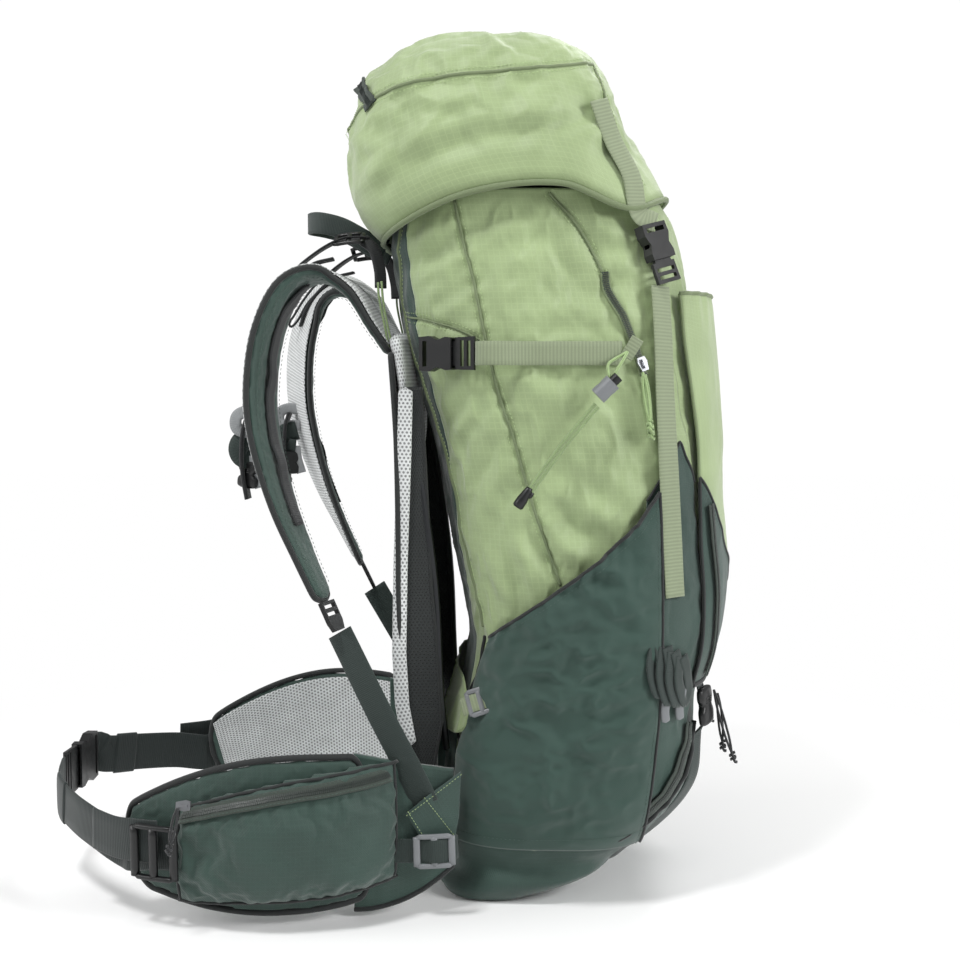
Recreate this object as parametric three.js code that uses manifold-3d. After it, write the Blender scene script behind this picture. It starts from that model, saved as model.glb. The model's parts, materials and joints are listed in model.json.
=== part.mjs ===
// A women's trekking backpack of about 50 litres: a panel-built bag with a floating lid, a suspended
// mesh back on a rod frame, a padded harness and a hip belt.
// Millimetres. X runs from the wearer (-X) to the front of the bag (+X), Y is the width with the
// wearer's left at -Y, and Z is up. The origin is the middle of the mesh back's front face.
import * as THREE from 'three';
import { mergeVertices } from 'three/addons/utils/BufferGeometryUtils.js';
import Module from 'manifold-3d';

const wasm = await Module();
wasm.setup();

// ---- driving dimensions -------------------------------------------------------------------------
const bagBottom = -333;          // underside of the base panel
const bagHeight = 575;           // base to the hem that the collar is sewn to
const bagWidth = 288;            // across the main bag at its widest
const bagDepth = 262;            // scale of the bag's depth, back to front
const baseHeight = 50;           // how far the base panel wraps up the sides
const panelWall = 3;             // lining, foam and face cloth together
const seamGap = 0.4;             // between two pieces sewn or resting together
const collarHeight = 46;
const collarInset = 7;
const collarGather = 24;         // how far the drawcord pulls the collar's edge in
const pocketWall = 2;
const pocketSeam = 3.2;          // a sewn pocket edge's height over the flat of the bag's cloth
const sidePocketRoom = 13;       // how far a side pocket stands off the bag
const frontPocketRoom = 17;
const meshWidth = 236;
const meshTop = 146;
const meshBottom = -196;
const meshThick = 3;
const rodRadius = 3.2;
const lumbarThick = 16;
const lumbarHeight = 92;
const lumbarReach = 146;          // half the lumbar pad's width, to the root of each hip wing
const lidHeight = 178;
const lidWall = 4;
const lidOverhang = 12;          // how far the lid reaches past the collar
const smallWeb = 20;             // lid and compression straps
const shoulderWeb = 25;
const beltWeb = 38;
const webThick = 1.8;
const padThick = 15;
const padWidth = 66;
const wingThick = 12;
const wingHeight = 140;
const hipPocketDepth = 22;
const cordRadius = 1.6;
const lockRadius = 7.5;
const lockLength = 17;
const plungerRadius = 4.6;
const plungerTravel = 4;

// ---- materials ----------------------------------------------------------------------------------
const finish = (color, roughness, metalness = 0) =>
  new THREE.MeshStandardMaterial({ color, roughness, metalness });
const lightCloth = finish(0xa3b384, 0.85);
const darkCloth = finish(0x36503f, 0.88);
const stretchCloth = finish(0x46604a, 0.9);
const spacerMesh = finish(0xd6d9da, 0.95);
const lightWebbing = finish(0x93a47a, 0.8);
const darkWebbing = finish(0x2c3a38, 0.8);
const blackWebbing = finish(0x15171a, 0.8);
const blackPlastic = finish(0x101113, 0.45);
const greyPlastic = finish(0x9a9fa3, 0.45);
const rodMetal = finish(0x3a3d40, 0.35, 0.9);
const sliderMetal = finish(0xa8abae, 0.3, 0.9);
const greenCord = finish(0xb6cf8a, 0.8);

// ---- small maths --------------------------------------------------------------------------------
const V = (x, y, z) => new THREE.Vector3(x, y, z);
const mix = THREE.MathUtils.lerp;
const rad = THREE.MathUtils.degToRad;
const range = (count) => Array.from({ length: count }, (_, i) => i);

// A smooth curve y(x) through a few [x, y] points with rising x.
function through(points) {
  const slope = points.map((_, i) => {
    const a = points[Math.max(i - 1, 0)];
    const b = points[Math.min(i + 1, points.length - 1)];
    return (b[1] - a[1]) / (b[0] - a[0]);
  });
  return (x) => {
    let i = 0;
    while (i < points.length - 2 && x > points[i + 1][0]) i += 1;
    const [x0, y0] = points[i];
    const [x1, y1] = points[i + 1];
    const w = x1 - x0;
    const t = THREE.MathUtils.clamp((x - x0) / w, -0.2, 1.2);
    const t2 = t * t;
    const t3 = t2 * t;
    return y0 * (2 * t3 - 3 * t2 + 1) + slope[i] * w * (t3 - 2 * t2 + t)
      + y1 * (3 * t2 - 2 * t3) + slope[i + 1] * w * (t3 - t2);
  };
}

// ---- mesh helpers -------------------------------------------------------------------------------
// Builds a geometry from points and triangles, with its faces turned outwards.
function solid(points, faces) {
  const position = points.flatMap((p) => [p.x, p.y, p.z]);
  let volume = 0;
  for (const [a, b, c] of faces) volume += points[a].dot(points[b].clone().cross(points[c]));
  const order = volume < 0 ? faces.map(([a, b, c]) => [a, c, b]) : faces;
  const geometry = new THREE.BufferGeometry();
  geometry.setAttribute('position', new THREE.Float32BufferAttribute(position, 3));
  geometry.setIndex(order.flat());
  return geometry;
}

// A wall between two grids of points (rows of equal length). wrap joins each row's ends.
function wallBetween(outer, inner, wrap = false) {
  const rows = outer.length;
  const columns = outer[0].length;
  const points = [...outer.flat(), ...inner.flat()];
  const half = rows * columns;
  const faces = [];
  const quad = (a, b, c, d) => faces.push([a, b, c], [a, c, d]);
  const at = (r, c) => r * columns + (c % columns);
  const lastColumn = wrap ? columns : columns - 1;
  for (let r = 0; r < rows - 1; r += 1) {
    for (let c = 0; c < lastColumn; c += 1) {
      quad(at(r, c), at(r, c + 1), at(r + 1, c + 1), at(r + 1, c));
      quad(half + at(r, c), half + at(r + 1, c), half + at(r + 1, c + 1), half + at(r, c + 1));
    }
    if (!wrap) {
      quad(at(r, 0), at(r + 1, 0), half + at(r + 1, 0), half + at(r, 0));
      const e = columns - 1;
      quad(at(r, e), half + at(r, e), half + at(r + 1, e), at(r + 1, e));
    }
  }
  for (let c = 0; c < lastColumn; c += 1) {
    const e = rows - 1;
    quad(at(0, c), half + at(0, c), half + at(0, c + 1), at(0, c + 1));
    quad(at(e, c), at(e, c + 1), half + at(e, c + 1), half + at(e, c));
  }
  return solid(points, faces);
}

// A cup: rings from the rim to the floor outside, and the same inside, each closed by a fan.
function cup(outer, inner) {
  const n = outer[0].length;
  const points = [];
  const faces = [];
  const quad = (a, b, c, d) => faces.push([a, b, c], [a, c, d]);
  const addSide = (rings, turned) => {
    const start = points.length;
    points.push(...rings.flat());
    const middle = points.length;
    const last = rings[rings.length - 1];
    points.push(last.reduce((sum, p) => sum.add(p), V(0, 0, 0)).divideScalar(n));
    for (const i of range(n)) {
      const j = (i + 1) % n;
      for (let r = 0; r < rings.length - 1; r += 1) {
        const a = start + r * n;
        if (turned) quad(a + j, a + i, a + n + i, a + n + j);
        else quad(a + i, a + j, a + n + j, a + n + i);
      }
      const e = start + (rings.length - 1) * n;
      faces.push(turned ? [e + j, e + i, middle] : [e + i, e + j, middle]);
    }
    return start;
  };
  const a = addSide(outer, false);
  const b = addSide(inner, true);
  for (const i of range(n)) {
    const j = (i + 1) % n;
    quad(a + j, a + i, b + i, b + j);
  }
  return solid(points, faces);
}

// Sweeps a closed section along stations. Each station is { point, across, normal, width, thick }.
function sweep(stations, section) {
  const rings = stations.map((s) => section.map(([u, v]) => s.point.clone()
    .addScaledVector(s.across, u * s.width / 2)
    .addScaledVector(s.normal, v * s.thick / 2)));
  const n = section.length;
  const points = rings.flat();
  const faces = [];
  for (let r = 0; r < rings.length - 1; r += 1) {
    for (const i of range(n)) {
      const j = (i + 1) % n;
      faces.push([r * n + i, r * n + j, (r + 1) * n + j], [r * n + i, (r + 1) * n + j, (r + 1) * n + i]);
    }
  }
  const e = (rings.length - 1) * n;
  for (let i = 1; i < n - 1; i += 1) faces.push([0, i + 1, i], [e, e + i, e + i + 1]);
  return solid(points, faces);
}

const flatSection = [[-1, -1], [1, -1], [1, 1], [-1, 1]];
const softSection = [[-1, 0.1], [-0.94, -0.7], [-0.7, -1], [0.7, -1], [0.94, -0.7],
  [1, 0.1], [0.88, 0.85], [0.5, 1], [-0.5, 1], [-0.88, 0.85]];

// Stations along a smooth path. facing gives the direction that the flat face looks in.
function stationsAlong(points, facing, width, thick, steps) {
  const curve = new THREE.CatmullRomCurve3(points, false, 'centripetal');
  const valueAt = (value, t) => (typeof value === 'function' ? value(t) : value);
  return range(steps + 1).map((i) => {
    const t = i / steps;
    const along = curve.getTangentAt(t);
    const look = facing(t, curve.getPointAt(t));
    const across = look.clone().cross(along).normalize();
    const normal = along.clone().cross(across).normalize();
    const point = curve.getPointAt(t);
    return { point, across, normal, width: valueAt(width, t), thick: valueAt(thick, t) };
  });
}

const webbing = (points, facing, width, steps) =>
  sweep(stationsAlong(points, facing, width, webThick, steps), flatSection);

// A round tube along a path.
function tube(points, radius, sides, steps) {
  const outline = new THREE.Shape(range(sides).map((i) => {
    const a = 2 * Math.PI * i / sides;
    return new THREE.Vector2(radius * Math.cos(a), radius * Math.sin(a));
  }));
  const path = new THREE.CatmullRomCurve3(points, false, 'centripetal');
  return new THREE.ExtrudeGeometry(outline, { steps, extrudePath: path, bevelEnabled: false });
}

const mirrored = (geometry) => {
  const copy = geometry.clone().applyMatrix4(new THREE.Matrix4().makeScale(1, -1, 1));
  const index = copy.index ? Array.from(copy.index.array) : range(copy.attributes.position.count);
  for (let i = 0; i < index.length; i += 3) [index[i + 1], index[i + 2]] = [index[i + 2], index[i + 1]];
  copy.setIndex(index);
  return copy;
};

// Turns a plain geometry into a solid for cutting and joining, and back.
function toSolid(geometry) {
  const plain = geometry.clone();
  plain.deleteAttribute('normal');
  plain.deleteAttribute('uv');
  const merged = mergeVertices(plain, 1e-4);
  return new wasm.Manifold(new wasm.Mesh({
    numProp: 3,
    vertProperties: new Float32Array(merged.attributes.position.array),
    triVerts: new Uint32Array(merged.index.array),
  }));
}

function fromSolid(body) {
  const mesh = body.getMesh();
  const geometry = new THREE.BufferGeometry();
  geometry.setAttribute('position', new THREE.Float32BufferAttribute(mesh.vertProperties, 3));
  geometry.setIndex(Array.from(mesh.triVerts));
  return geometry;
}

const cut = (body, ...tools) =>
  fromSolid(tools.reduce((rest, tool) => rest.subtract(toSolid(tool)), toSolid(body)));
const join = (...bodies) =>
  fromSolid(bodies.slice(1).reduce((sum, body) => sum.add(toSolid(body)), toSolid(bodies[0])));

const block = (x, y, z, at = V(0, 0, 0)) => new THREE.BoxGeometry(x, y, z).translate(at.x, at.y, at.z);

// A flat outline, extruded to a thickness and centred on its own plane.
function plate(outline, thickness, holes = []) {
  const shape = new THREE.Shape(outline.map(([x, y]) => new THREE.Vector2(x, y)));
  for (const hole of holes) shape.holes.push(new THREE.Path(hole.map(([x, y]) => new THREE.Vector2(x, y))));
  return new THREE.ExtrudeGeometry(shape, { depth: thickness, bevelEnabled: false, steps: 1 })
    .translate(0, 0, -thickness / 2);
}
const slot = (x, length, height) => [
  [x - height / 2, -length / 2], [x - height / 2, length / 2],
  [x + height / 2, length / 2], [x + height / 2, -length / 2]];

// Places a geometry whose X runs along a strap and whose Z looks out of its face.
function seat(geometry, point, along, outward) {
  const z = outward.clone().addScaledVector(along, -outward.dot(along)).normalize();
  const y = z.clone().cross(along).normalize();
  const frame = new THREE.Matrix4().makeBasis(along.clone().normalize(), y, z).setPosition(point);
  return geometry.clone().applyMatrix4(frame);
}

// ---- the parts list -----------------------------------------------------------------------------
const backpack = new THREE.Group();
function add(name, geometry, material) {
  const mesh = new THREE.Mesh(geometry, material);
  mesh.name = name;
  backpack.add(mesh);
}
function addPair(name, geometry, material) {
  add(`left_${name}`, geometry, material);
  add(`right_${name}`, mirrored(geometry), material);
}

// ---- the bag's surface --------------------------------------------------------------------------
const bagTop = bagBottom + bagHeight;
const share = (z) => (z - bagBottom) / bagHeight;
const backLine = through([[0, 52], [0.035, 36], [0.14, 33], [0.25, 40], [0.33, 53], [0.41, 58],
  [0.54, 45], [0.69, 28], [0.85, 2], [1, -12]]);
const depthShare = through([[0, 0.3], [0.03, 0.56], [0.14, 0.84], [0.22, 0.87], [0.33, 0.83],
  [0.47, 0.86], [0.6, 0.9], [0.77, 0.97], [0.92, 1.01], [1, 1]]);
const widthShare = through([[0, 0.62], [0.035, 0.8], [0.14, 0.93], [0.34, 0.99], [0.58, 1],
  [0.84, 0.97], [1, 0.88]]);
const bagSection = (z) => {
  const back = backLine(share(z));
  return { back, front: back + bagDepth * depthShare(share(z)), half: bagWidth / 2 * widthShare(share(z)) };
};
const squareness = 3;

// A point of a rounded section, at an angle from straight ahead, grown outwards evenly.
function ringPoint(section, angle, z, grow = 0) {
  const middle = (section.back + section.front) / 2;
  const a = (section.front - section.back) / 2 + grow;
  const b = section.half + grow;
  const c = Math.cos(angle);
  const s = Math.sin(angle);
  const r = (Math.abs(c / a) ** squareness + Math.abs(s / b) ** squareness) ** (-1 / squareness);
  return V(middle + r * c, r * s, z);
}
const onBag = (z, angle, grow = 0) => ringPoint(bagSection(z), angle, z, grow);
const bagNormal = (z, angle) => {
  const turn = onBag(z, angle + 0.02).sub(onBag(z, angle - 0.02));
  const climb = onBag(z + 2, angle).sub(onBag(z - 2, angle));
  return turn.cross(climb).normalize();
};
// The angle at which the left side of the bag has a given x.
function angleAtX(x, z, grow = 0) {
  let low = rad(-179);
  let high = rad(-1);
  for (let i = 0; i < 40; i += 1) {
    const trial = (low + high) / 2;
    if (onBag(z, trial, grow).x < x) low = trial;
    else high = trial;
  }
  return (low + high) / 2;
}

function panel(fromAngle, toAngle, z0, z1, columns, rows, grow = 0, wall = panelWall) {
  const grid = (offset) => range(rows + 1).map((r) => range(columns + 1).map((c) => {
    const z = mix(z0, z1, r / rows);
    return onBag(z, mix(fromAngle, toAngle, c / columns), offset);
  }));
  return wallBetween(grid(grow), grid(grow - wall));
}

function buildBag() {
  const seam = 2.6 * seamGap / bagWidth;
  const frontEdge = rad(47);
  const backEdge = rad(140);
  const baseTop = bagBottom + baseHeight;
  const low = baseTop + seamGap;
  add('front_panel', panel(-frontEdge + seam, frontEdge - seam, low, bagTop, 8, 12), lightCloth);
  add('back_panel', panel(backEdge + seam, 2 * Math.PI - backEdge - seam, low, bagTop, 6, 12), darkCloth);
  addPair('side_panel', panel(-backEdge + seam, -frontEdge - seam, low, bagTop, 8, 12), lightCloth);

  const sides = 28;
  const levels = [1, 0.62, 0.36, 0.16, 0.05, 0].map((part) => bagBottom + part * baseHeight);
  const ring = (z, grow, lift = 0) => range(sides).map((i) => {
    const p = onBag(z, 2 * Math.PI * i / sides, grow);
    p.z += lift;
    return p;
  });
  const outer = levels.map((z) => ring(z, 0));
  const floorRise = (z) => (z < baseTop ? panelWall * (baseTop - z) / baseHeight : 0);
  const inner = levels.map((z) => ring(z, -panelWall, floorRise(z)));
  add('base_panel', cup(outer, inner), darkCloth);

  const collarRows = 3;
  const collarGrid = (grow) => range(collarRows + 1).map((r) => range(24).map((i) => {
    const t = r / collarRows;
    const p = onBag(bagTop, 2 * Math.PI * i / 24, grow - collarInset - collarGather * t * t);
    p.z = bagTop - 12 + (collarHeight + 12) * t;
    return p;
  }));
  add('collar', wallBetween(collarGrid(0), collarGrid(-pocketWall), true), lightCloth);
}

// A pocket outside the bag: sewn round its foot and sides, open along its top edge.
function pocketOnBag(name, edges, footZ, topZ, room, material, pair, columns = 10, rows = 7) {
  const bulge = (c, r) => pocketSeam + room * Math.sin(Math.PI * c) ** 0.5 * Math.min(1, r * 3.2) ** 0.7;
  const grid = (offset) => range(rows + 1).map((r) => range(columns + 1).map((c) => {
    const u = c / columns;
    const v = r / rows;
    const z = mix(footZ, topZ(u), v);
    const [fromAngle, toAngle] = edges(z);
    return onBag(z, mix(fromAngle, toAngle, u), bulge(u, v) + offset);
  }));
  const geometry = wallBetween(grid(pocketWall), grid(0));
  if (pair) addPair(name, geometry, material);
  else add(name, geometry, material);
}

function buildPockets() {
  const foot = bagBottom + baseHeight + 4;
  const topEdge = through([[38, -192], [60, -148], [85, -106], [136, -63],
    [170, -38], [205, -4], [222, 24]]);
  const pocketFrontX = strapX.bottom - smallWeb / 2 - 10;
  const backEdge = rad(-138);
  const middleZ = -90;
  const topAt = (u) => topEdge(onBag(middleZ, mix(backEdge, angleAtX(pocketFrontX, middleZ), u)).x);
  pocketOnBag('side_pocket', (z) => [backEdge, angleAtX(pocketFrontX, z)], foot, topAt,
    sidePocketRoom, darkCloth, true);
  pocketOnBag('front_pocket', () => [rad(-44), rad(44)], bagBottom + baseHeight + 58, () => bagTop - 45,
    frontPocketRoom, stretchCloth, false);
}

// ---- the back: mesh, frame rod, lumbar pad, haul loop --------------------------------------------
const meshLine = through([[-200, 27], [-150, 6], [-80, 0.5], [0, 0], [80, -2], [150, -8]]);

function buildBack() {
  const rows = 10;
  const columns = 6;
  const grid = (x) => range(rows + 1).map((r) => range(columns + 1).map((c) => {
    const z = mix(meshBottom, meshTop, r / rows);
    const narrowing = 1 - 0.14 * Math.abs(2 * r / rows - 1) ** 3;
    return V(meshLine(z) + x, mix(-0.5, 0.5, c / columns) * meshWidth * narrowing, z);
  }));
  add('mesh_back', wallBetween(grid(0), grid(meshThick)), spacerMesh);

  const legY = meshWidth / 2 - 10;
  const rodSide = [[41, -0.82, -205], [37, -0.98, -150], [33, -1, -60],
    [20, -1, 40], [9, -0.9, 98], [5, -0.6, 118]];
  const leftLeg = rodSide.map(([x, y, z]) => V(x, y * legY, z));
  const rightLeg = rodSide.map(([x, y, z]) => V(x, -y * legY, z)).reverse();
  add('frame_rod', tube([...leftLeg, V(4, 0, 121), ...rightLeg], rodRadius, 8, 44), rodMetal);

  const lumbarZ = -252;
  const lumbarFace = through([[0, 9], [0.6, 6], [1, -13]]);
  const lumbarPoints = [-1, -0.8, -0.5, 0, 0.5, 0.8, 1].map((t) => {
    const reach = Math.abs(t);
    return V(lumbarFace(reach) + lumbarThick / 2, t * lumbarReach, lumbarZ);
  });
  const outwards = (t) => V(-Math.cos((t - 0.5) * 1.6), Math.sin((t - 0.5) * 1.6), 0);
  const lumbar = stationsAlong(lumbarPoints, outwards, (t) => lumbarHeight + 24 * Math.sin(Math.PI * t),
    (t) => lumbarThick - 5 * Math.abs(2 * t - 1) ** 2, 14);
  add('lumbar_pad', sweep(lumbar, softSection), darkCloth);

  const haulZ = 262;
  const haulSide = [[-18, -26, -32], [-36, -28, -16], [-58, -27, -4], [-80, -20, 2]];
  const haulPath = [...haulSide.map(([x, y, z]) => V(x, y, haulZ + z)), V(-93, 0, haulZ + 3),
    ...haulSide.map(([x, y, z]) => V(x, -y, haulZ + z)).reverse()];
  const haulFacing = (t) => V(-Math.sin(Math.PI * t), -Math.cos(Math.PI * t), 0);
  add('haul_loop', webbing(haulPath, haulFacing, smallWeb, 14), darkWebbing);
}

// ---- buckles ------------------------------------------------------------------------------------
// Sizes of a side-release buckle for a given webbing. Its X runs from the plug's bar to the socket's.
function buckleSizes(web) {
  const play = 1.4;
  return {
    play,
    web,
    body: web + 10,
    socketLength: web * 0.95 + 12,
    plugDepth: web * 0.55 + 6,
    prongThick: 3.2,
    shell: 2,
    barRoom: 4,
  };
}

// The socket half, with its mouth at x = 0 and its strap bar at the far end.
function socketHalf(web) {
  const s = buckleSizes(web);
  const length = s.socketLength;
  const h = s.body / 2;
  const waist = h * 0.76;
  const outline = [[0, -h * 0.9], [length * 0.18, -h * 0.93], [length * 0.42, -waist], [length * 0.68, -h],
    [length, -h * 0.95], [length, h * 0.95], [length * 0.68, h], [length * 0.42, waist],
    [length * 0.18, h * 0.93], [0, h * 0.9]];
  const thick = s.prongThick + 2 * s.play + 2 * s.shell;
  const body = plate(outline, thick, [slot(length - 5.5, web + 1.5, s.barRoom)]);
  const roomLength = s.plugDepth + 4;
  const roomHeight = s.prongThick + 2 * s.play;
  const room = block(roomLength, 2 * waist + 1.2, roomHeight, V(roomLength / 2 - 1, 0, 0));
  return cut(body, room);
}

const plugBarReach = (web) => web * 0.7 + 5;

// The plug half, with its two prongs and guide pointing to +X and its ladder bars behind x = 0.
function plugHalf(web) {
  const s = buckleSizes(web);
  const h = s.body / 2;
  const reach = s.plugDepth;
  const inner = h * 0.76 - s.play;
  const base = -plugBarReach(web);
  const outline = [[base, -h * 0.94], [-1, -h * 0.9], [-1, -inner], [reach * 0.55, -inner],
    [reach, -inner + 4], [reach, -inner + 6.5], [reach * 0.5, -inner + 4.5], [1.5, -inner + 4],
    [1.5, -1.6], [reach * 0.8, -1.6], [reach * 0.8, 1.6], [1.5, 1.6],
    [1.5, inner - 4], [reach * 0.5, inner - 4.5], [reach, inner - 6.5], [reach, inner - 4],
    [reach * 0.55, inner], [-1, inner], [-1, h * 0.9], [base, h * 0.94]];
  const holes = [slot(base + 5, web + 1, 3.4), slot(base + 11.5, web + 1.6, 3.4)];
  return plate(outline, s.prongThick, holes);
}

// A ladder lock: a plate with two slots and a lifted pull tab.
function ladderLock(web) {
  const h = web / 2 + 3.5;
  const length = web * 0.85 + 6;
  const outline = [[0, -h], [length * 0.7, -h], [length, -h * 0.72],
    [length, h * 0.72], [length * 0.7, h], [0, h]];
  return plate(outline, 3.6, [slot(4.6, web + 1, 3.2), slot(11.4, web + 1.6, 3.2)]);
}

// ---- straps on the bag --------------------------------------------------------------------------
const sideLift = 2.2;            // how far side webbing stands off the cloth
const compressionZ = 146;
const compressionX = { release: 54, front: 191 };

function buildCompressionStraps() {
  const sizes = buckleSizes(smallWeb);
  const lift = sideLift + sizes.prongThick / 2 + sizes.play + sizes.shell + 1;
  const mouthAngle = angleAtX(compressionX.release, compressionZ);
  const outward = bagNormal(compressionZ, mouthAngle);
  outward.z = 0;
  outward.normalize();
  const along = V(-outward.y, outward.x, 0);
  if (along.x < 0) along.negate();
  const mouth = onBag(compressionZ, mouthAngle).addScaledVector(outward, lift);
  const backwards = along.clone().negate();
  addPair('compression_socket', seat(socketHalf(smallWeb), mouth, backwards, outward), blackPlastic);
  const plugPoint = mouth.clone().addScaledVector(along, 1.5);
  addPair('compression_plug', seat(plugHalf(smallWeb), plugPoint, backwards, outward), blackPlastic);
  const reach = plugBarReach(smallWeb) + 1;
  const start = plugPoint.clone().addScaledVector(along, reach);
  const angles = [0.36, 0.55, 0.78, 1].map((t) => {
    const x = mix(start.x, compressionX.front, t);
    return onBag(compressionZ, angleAtX(x, compressionZ), sideLift);
  });
  const facing = (t, p) => bagNormal(compressionZ, angleAtX(p.x, compressionZ, sideLift));
  const eased = start.clone().addScaledVector(along, 16);
  addPair('compression_strap', webbing([start, eased, ...angles], facing, smallWeb, 10), lightWebbing);
}

const strapX = { top: 219, bottom: 236 };
const lidBuckleZ = 226;

function frontStrapPoint(z, lift = sideLift) {
  const x = mix(strapX.bottom, strapX.top, (z + 60) / 290);
  return onBag(z, angleAtX(x, z), lift);
}

function buildFrontStraps() {
  const top = lidBuckleZ - smallWeb * 0.7 - 9;
  const levels = [-60, 0, 60, 110, 160, top];
  const points = levels.map((z, i) => frontStrapPoint(z, i > 3 ? sideLift + 4 : sideLift + 2.5));
  const facing = (t, p) => bagNormal(p.z, angleAtX(p.x, p.z, sideLift));
  addPair('front_strap', webbing(points, facing, smallWeb, 12), lightWebbing);
}

// The lid strap's frame: where its buckle sits and which way it runs.
const buckleFrame = (() => {
  const lift = 9;
  const at = frontStrapPoint(lidBuckleZ, lift);
  const above = V(at.x - 15, at.y + 1, at.z + 42);
  const along = above.clone().sub(at).normalize();
  const outward = bagNormal(lidBuckleZ - 20, angleAtX(at.x, lidBuckleZ - 20));
  return { at, along, outward };
})();

function buildLidBuckles() {
  const { at, along, outward } = buckleFrame;
  addPair('lid_buckle_socket', seat(socketHalf(smallWeb), at, along, outward), blackPlastic);
  const plugPoint = at.clone().addScaledVector(along, -1.5);
  addPair('lid_buckle_plug', seat(plugHalf(smallWeb), plugPoint, along, outward), blackPlastic);
}

function buildBottomStraps() {
  const y = -78;
  const path = [-238, -262, -286, -306].map((z) => {
    const angle = -Math.asin(Math.min(0.95, -y / bagSection(z).half));
    const p = onBag(z, angle * 0.92, sideLift + 1);
    return p;
  });
  const facing = (t, p) => V(1, -0.25, -0.9 * t).normalize();
  addPair('bottom_strap', webbing(path, facing, smallWeb, 8), blackWebbing);
}

// ---- side cords with their locks ----------------------------------------------------------------
// The cord's route on the left side: from its sewn loop through the lock to its end.
const lockAt = V(177, -155.5, 116);
const cordTail = [V(169, -155.5, 104), V(158, -155.5, 91), V(143, -156, 73), V(129, -157, 54),
  V(119, -158, 40),
  V(113, -158.5, 31)];

function buildCordLocks() {
  const lean = V(0.72, 0, 0.69);
  const across = V(-0.69, 0, 0.72);
  const body = new THREE.CylinderGeometry(lockRadius, lockRadius, lockLength, 16);
  const wellDepth = lockLength - 4;
  const well = new THREE.CylinderGeometry(plungerRadius + 0.5, plungerRadius + 0.5, wellDepth, 16)
    .translate(0, lockLength / 2 - wellDepth / 2 + 0.5, 0);
  const cordHole = new THREE.CylinderGeometry(cordRadius + 1.1, cordRadius + 1.1, lockRadius * 3, 10)
    .rotateZ(Math.PI / 2);
  const shell = cut(body, well, cordHole);
  const place = (geometry) => {
    const outward = across.clone().cross(lean);
    const frame = new THREE.Matrix4().makeBasis(across, lean, outward).setPosition(lockAt);
    return geometry.applyMatrix4(frame);
  };
  addPair('cord_lock', place(shell), greyPlastic);
  const stemTop = lockLength / 2 + plungerTravel + 2.5;
  const plungerLength = stemTop - (cordRadius + 1.4) - 1;
  const plunger = new THREE.CylinderGeometry(plungerRadius, plungerRadius, plungerLength, 16)
    .translate(0, stemTop - plungerLength / 2, 0);
  addPair('cord_lock_plunger', place(plunger), blackPlastic);
  addPair('side_cord', tube(cordTail, cordRadius, 8, 30), greenCord);
}

// ---- the lid ------------------------------------------------------------------------------------
const lidZipStart = rad(22);     // where the lid's zipper begins, round from the middle of its rear
const lidSideHem = through([[-20, 246], [60, 279], [140, 287], [200, 268], [240, 286]]);
const lidBack = through([[0, -19], [0.35, -38], [0.6, -50], [0.85, -50], [1, -46]]);
const lidFront = through([[0, 237], [0.25, 226], [0.5, 210], [0.8, 190], [1, 176]]);
const lidHalfWidth = bagWidth / 2 * 0.88 + lidOverhang;
const lidTopAt = through([[-50, 388], [60, 418], [150, 428], [200, 404]]);

// A point of the lid at an angle and a climb from 0 at the hem to 1 at the crown.
function onLid(angle, climb, grow = 0) {
  const tilt = climb * Math.PI / 2;
  const boxy = 0.42;
  const closeness = Math.max(Math.cos(tilt), 0.001) ** boxy;
  const height = Math.sin(tilt) ** 0.9;
  const half = lidHalfWidth * (1 - 0.08 * height);
  const section = { back: lidBack(height), front: lidFront(height), half };
  const flat = ringPoint(section, angle, 0, grow);
  const middle = (section.back + section.front) / 2;
  const x = middle + (flat.x - middle) * closeness;
  const hem = lidSideHem(x);
  const top = mix(lidTopAt(x), lidTopAt(60), 0.15) + (lidHeight - 178);
  return V(x, flat.y * closeness, mix(hem, top + grow, Math.min(1, height)));
}

function buildLid() {
  const sides = 32;
  const climbs = [0, 0.12, 0.3, 0.5, 0.66, 0.8, 0.9, 0.97];
  const ringAt = (climb, grow) => range(sides).map((i) => onLid(2 * Math.PI * i / sides, climb, grow));
  const rings = (grow) => climbs.map((climb) => ringAt(climb, grow));
  const cover = cup(rings(0), rings(-lidWall));
  add('lid_cover', cover, lightCloth);

  const floorZ = bagTop + collarHeight + 10;
  const floorPoints = range(sides).map((i) => {
    const angle = 2 * Math.PI * i / sides;
    const climb = 0.2;
    const p = onLid(angle, climb, -lidWall - 2.5);
    return new THREE.Vector2(p.x, p.y);
  });
  const floorShape = new THREE.Shape(floorPoints);
  const floor = new THREE.ExtrudeGeometry(floorShape, { depth: 2, bevelEnabled: false, steps: 1 })
    .translate(0, 0, floorZ);
  add('lid_floor', floor, darkCloth);

  const { at, along, outward } = buckleFrame;
  const socketEnd = at.clone().addScaledVector(along, buckleSizes(smallWeb).socketLength + 0.6);
  const leaving = socketEnd.clone().addScaledVector(along, 10);
  const sewn = onLid(angleOnLid(190), 0.34, 5);
  addPair('lid_strap', webbing([socketEnd, leaving, sewn], () => outward, smallWeb, 7), lightWebbing);

  const slider = zipSlider();
  const sliderAt = onLid(Math.PI + lidZipStart, 0.62, 5.5);
  add('lid_zip_slider', seat(slider, sliderAt, V(0, 1, 0), V(-0.8, 0, 0.6)), sliderMetal);
}

// The angle at which the lid's left hem has a given x.
function angleOnLid(x) {
  let low = rad(-179);
  let high = rad(-1);
  for (let i = 0; i < 40; i += 1) {
    const trial = (low + high) / 2;
    if (onLid(trial, 0.2).x < x) low = trial;
    else high = trial;
  }
  return (low + high) / 2;
}

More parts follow.
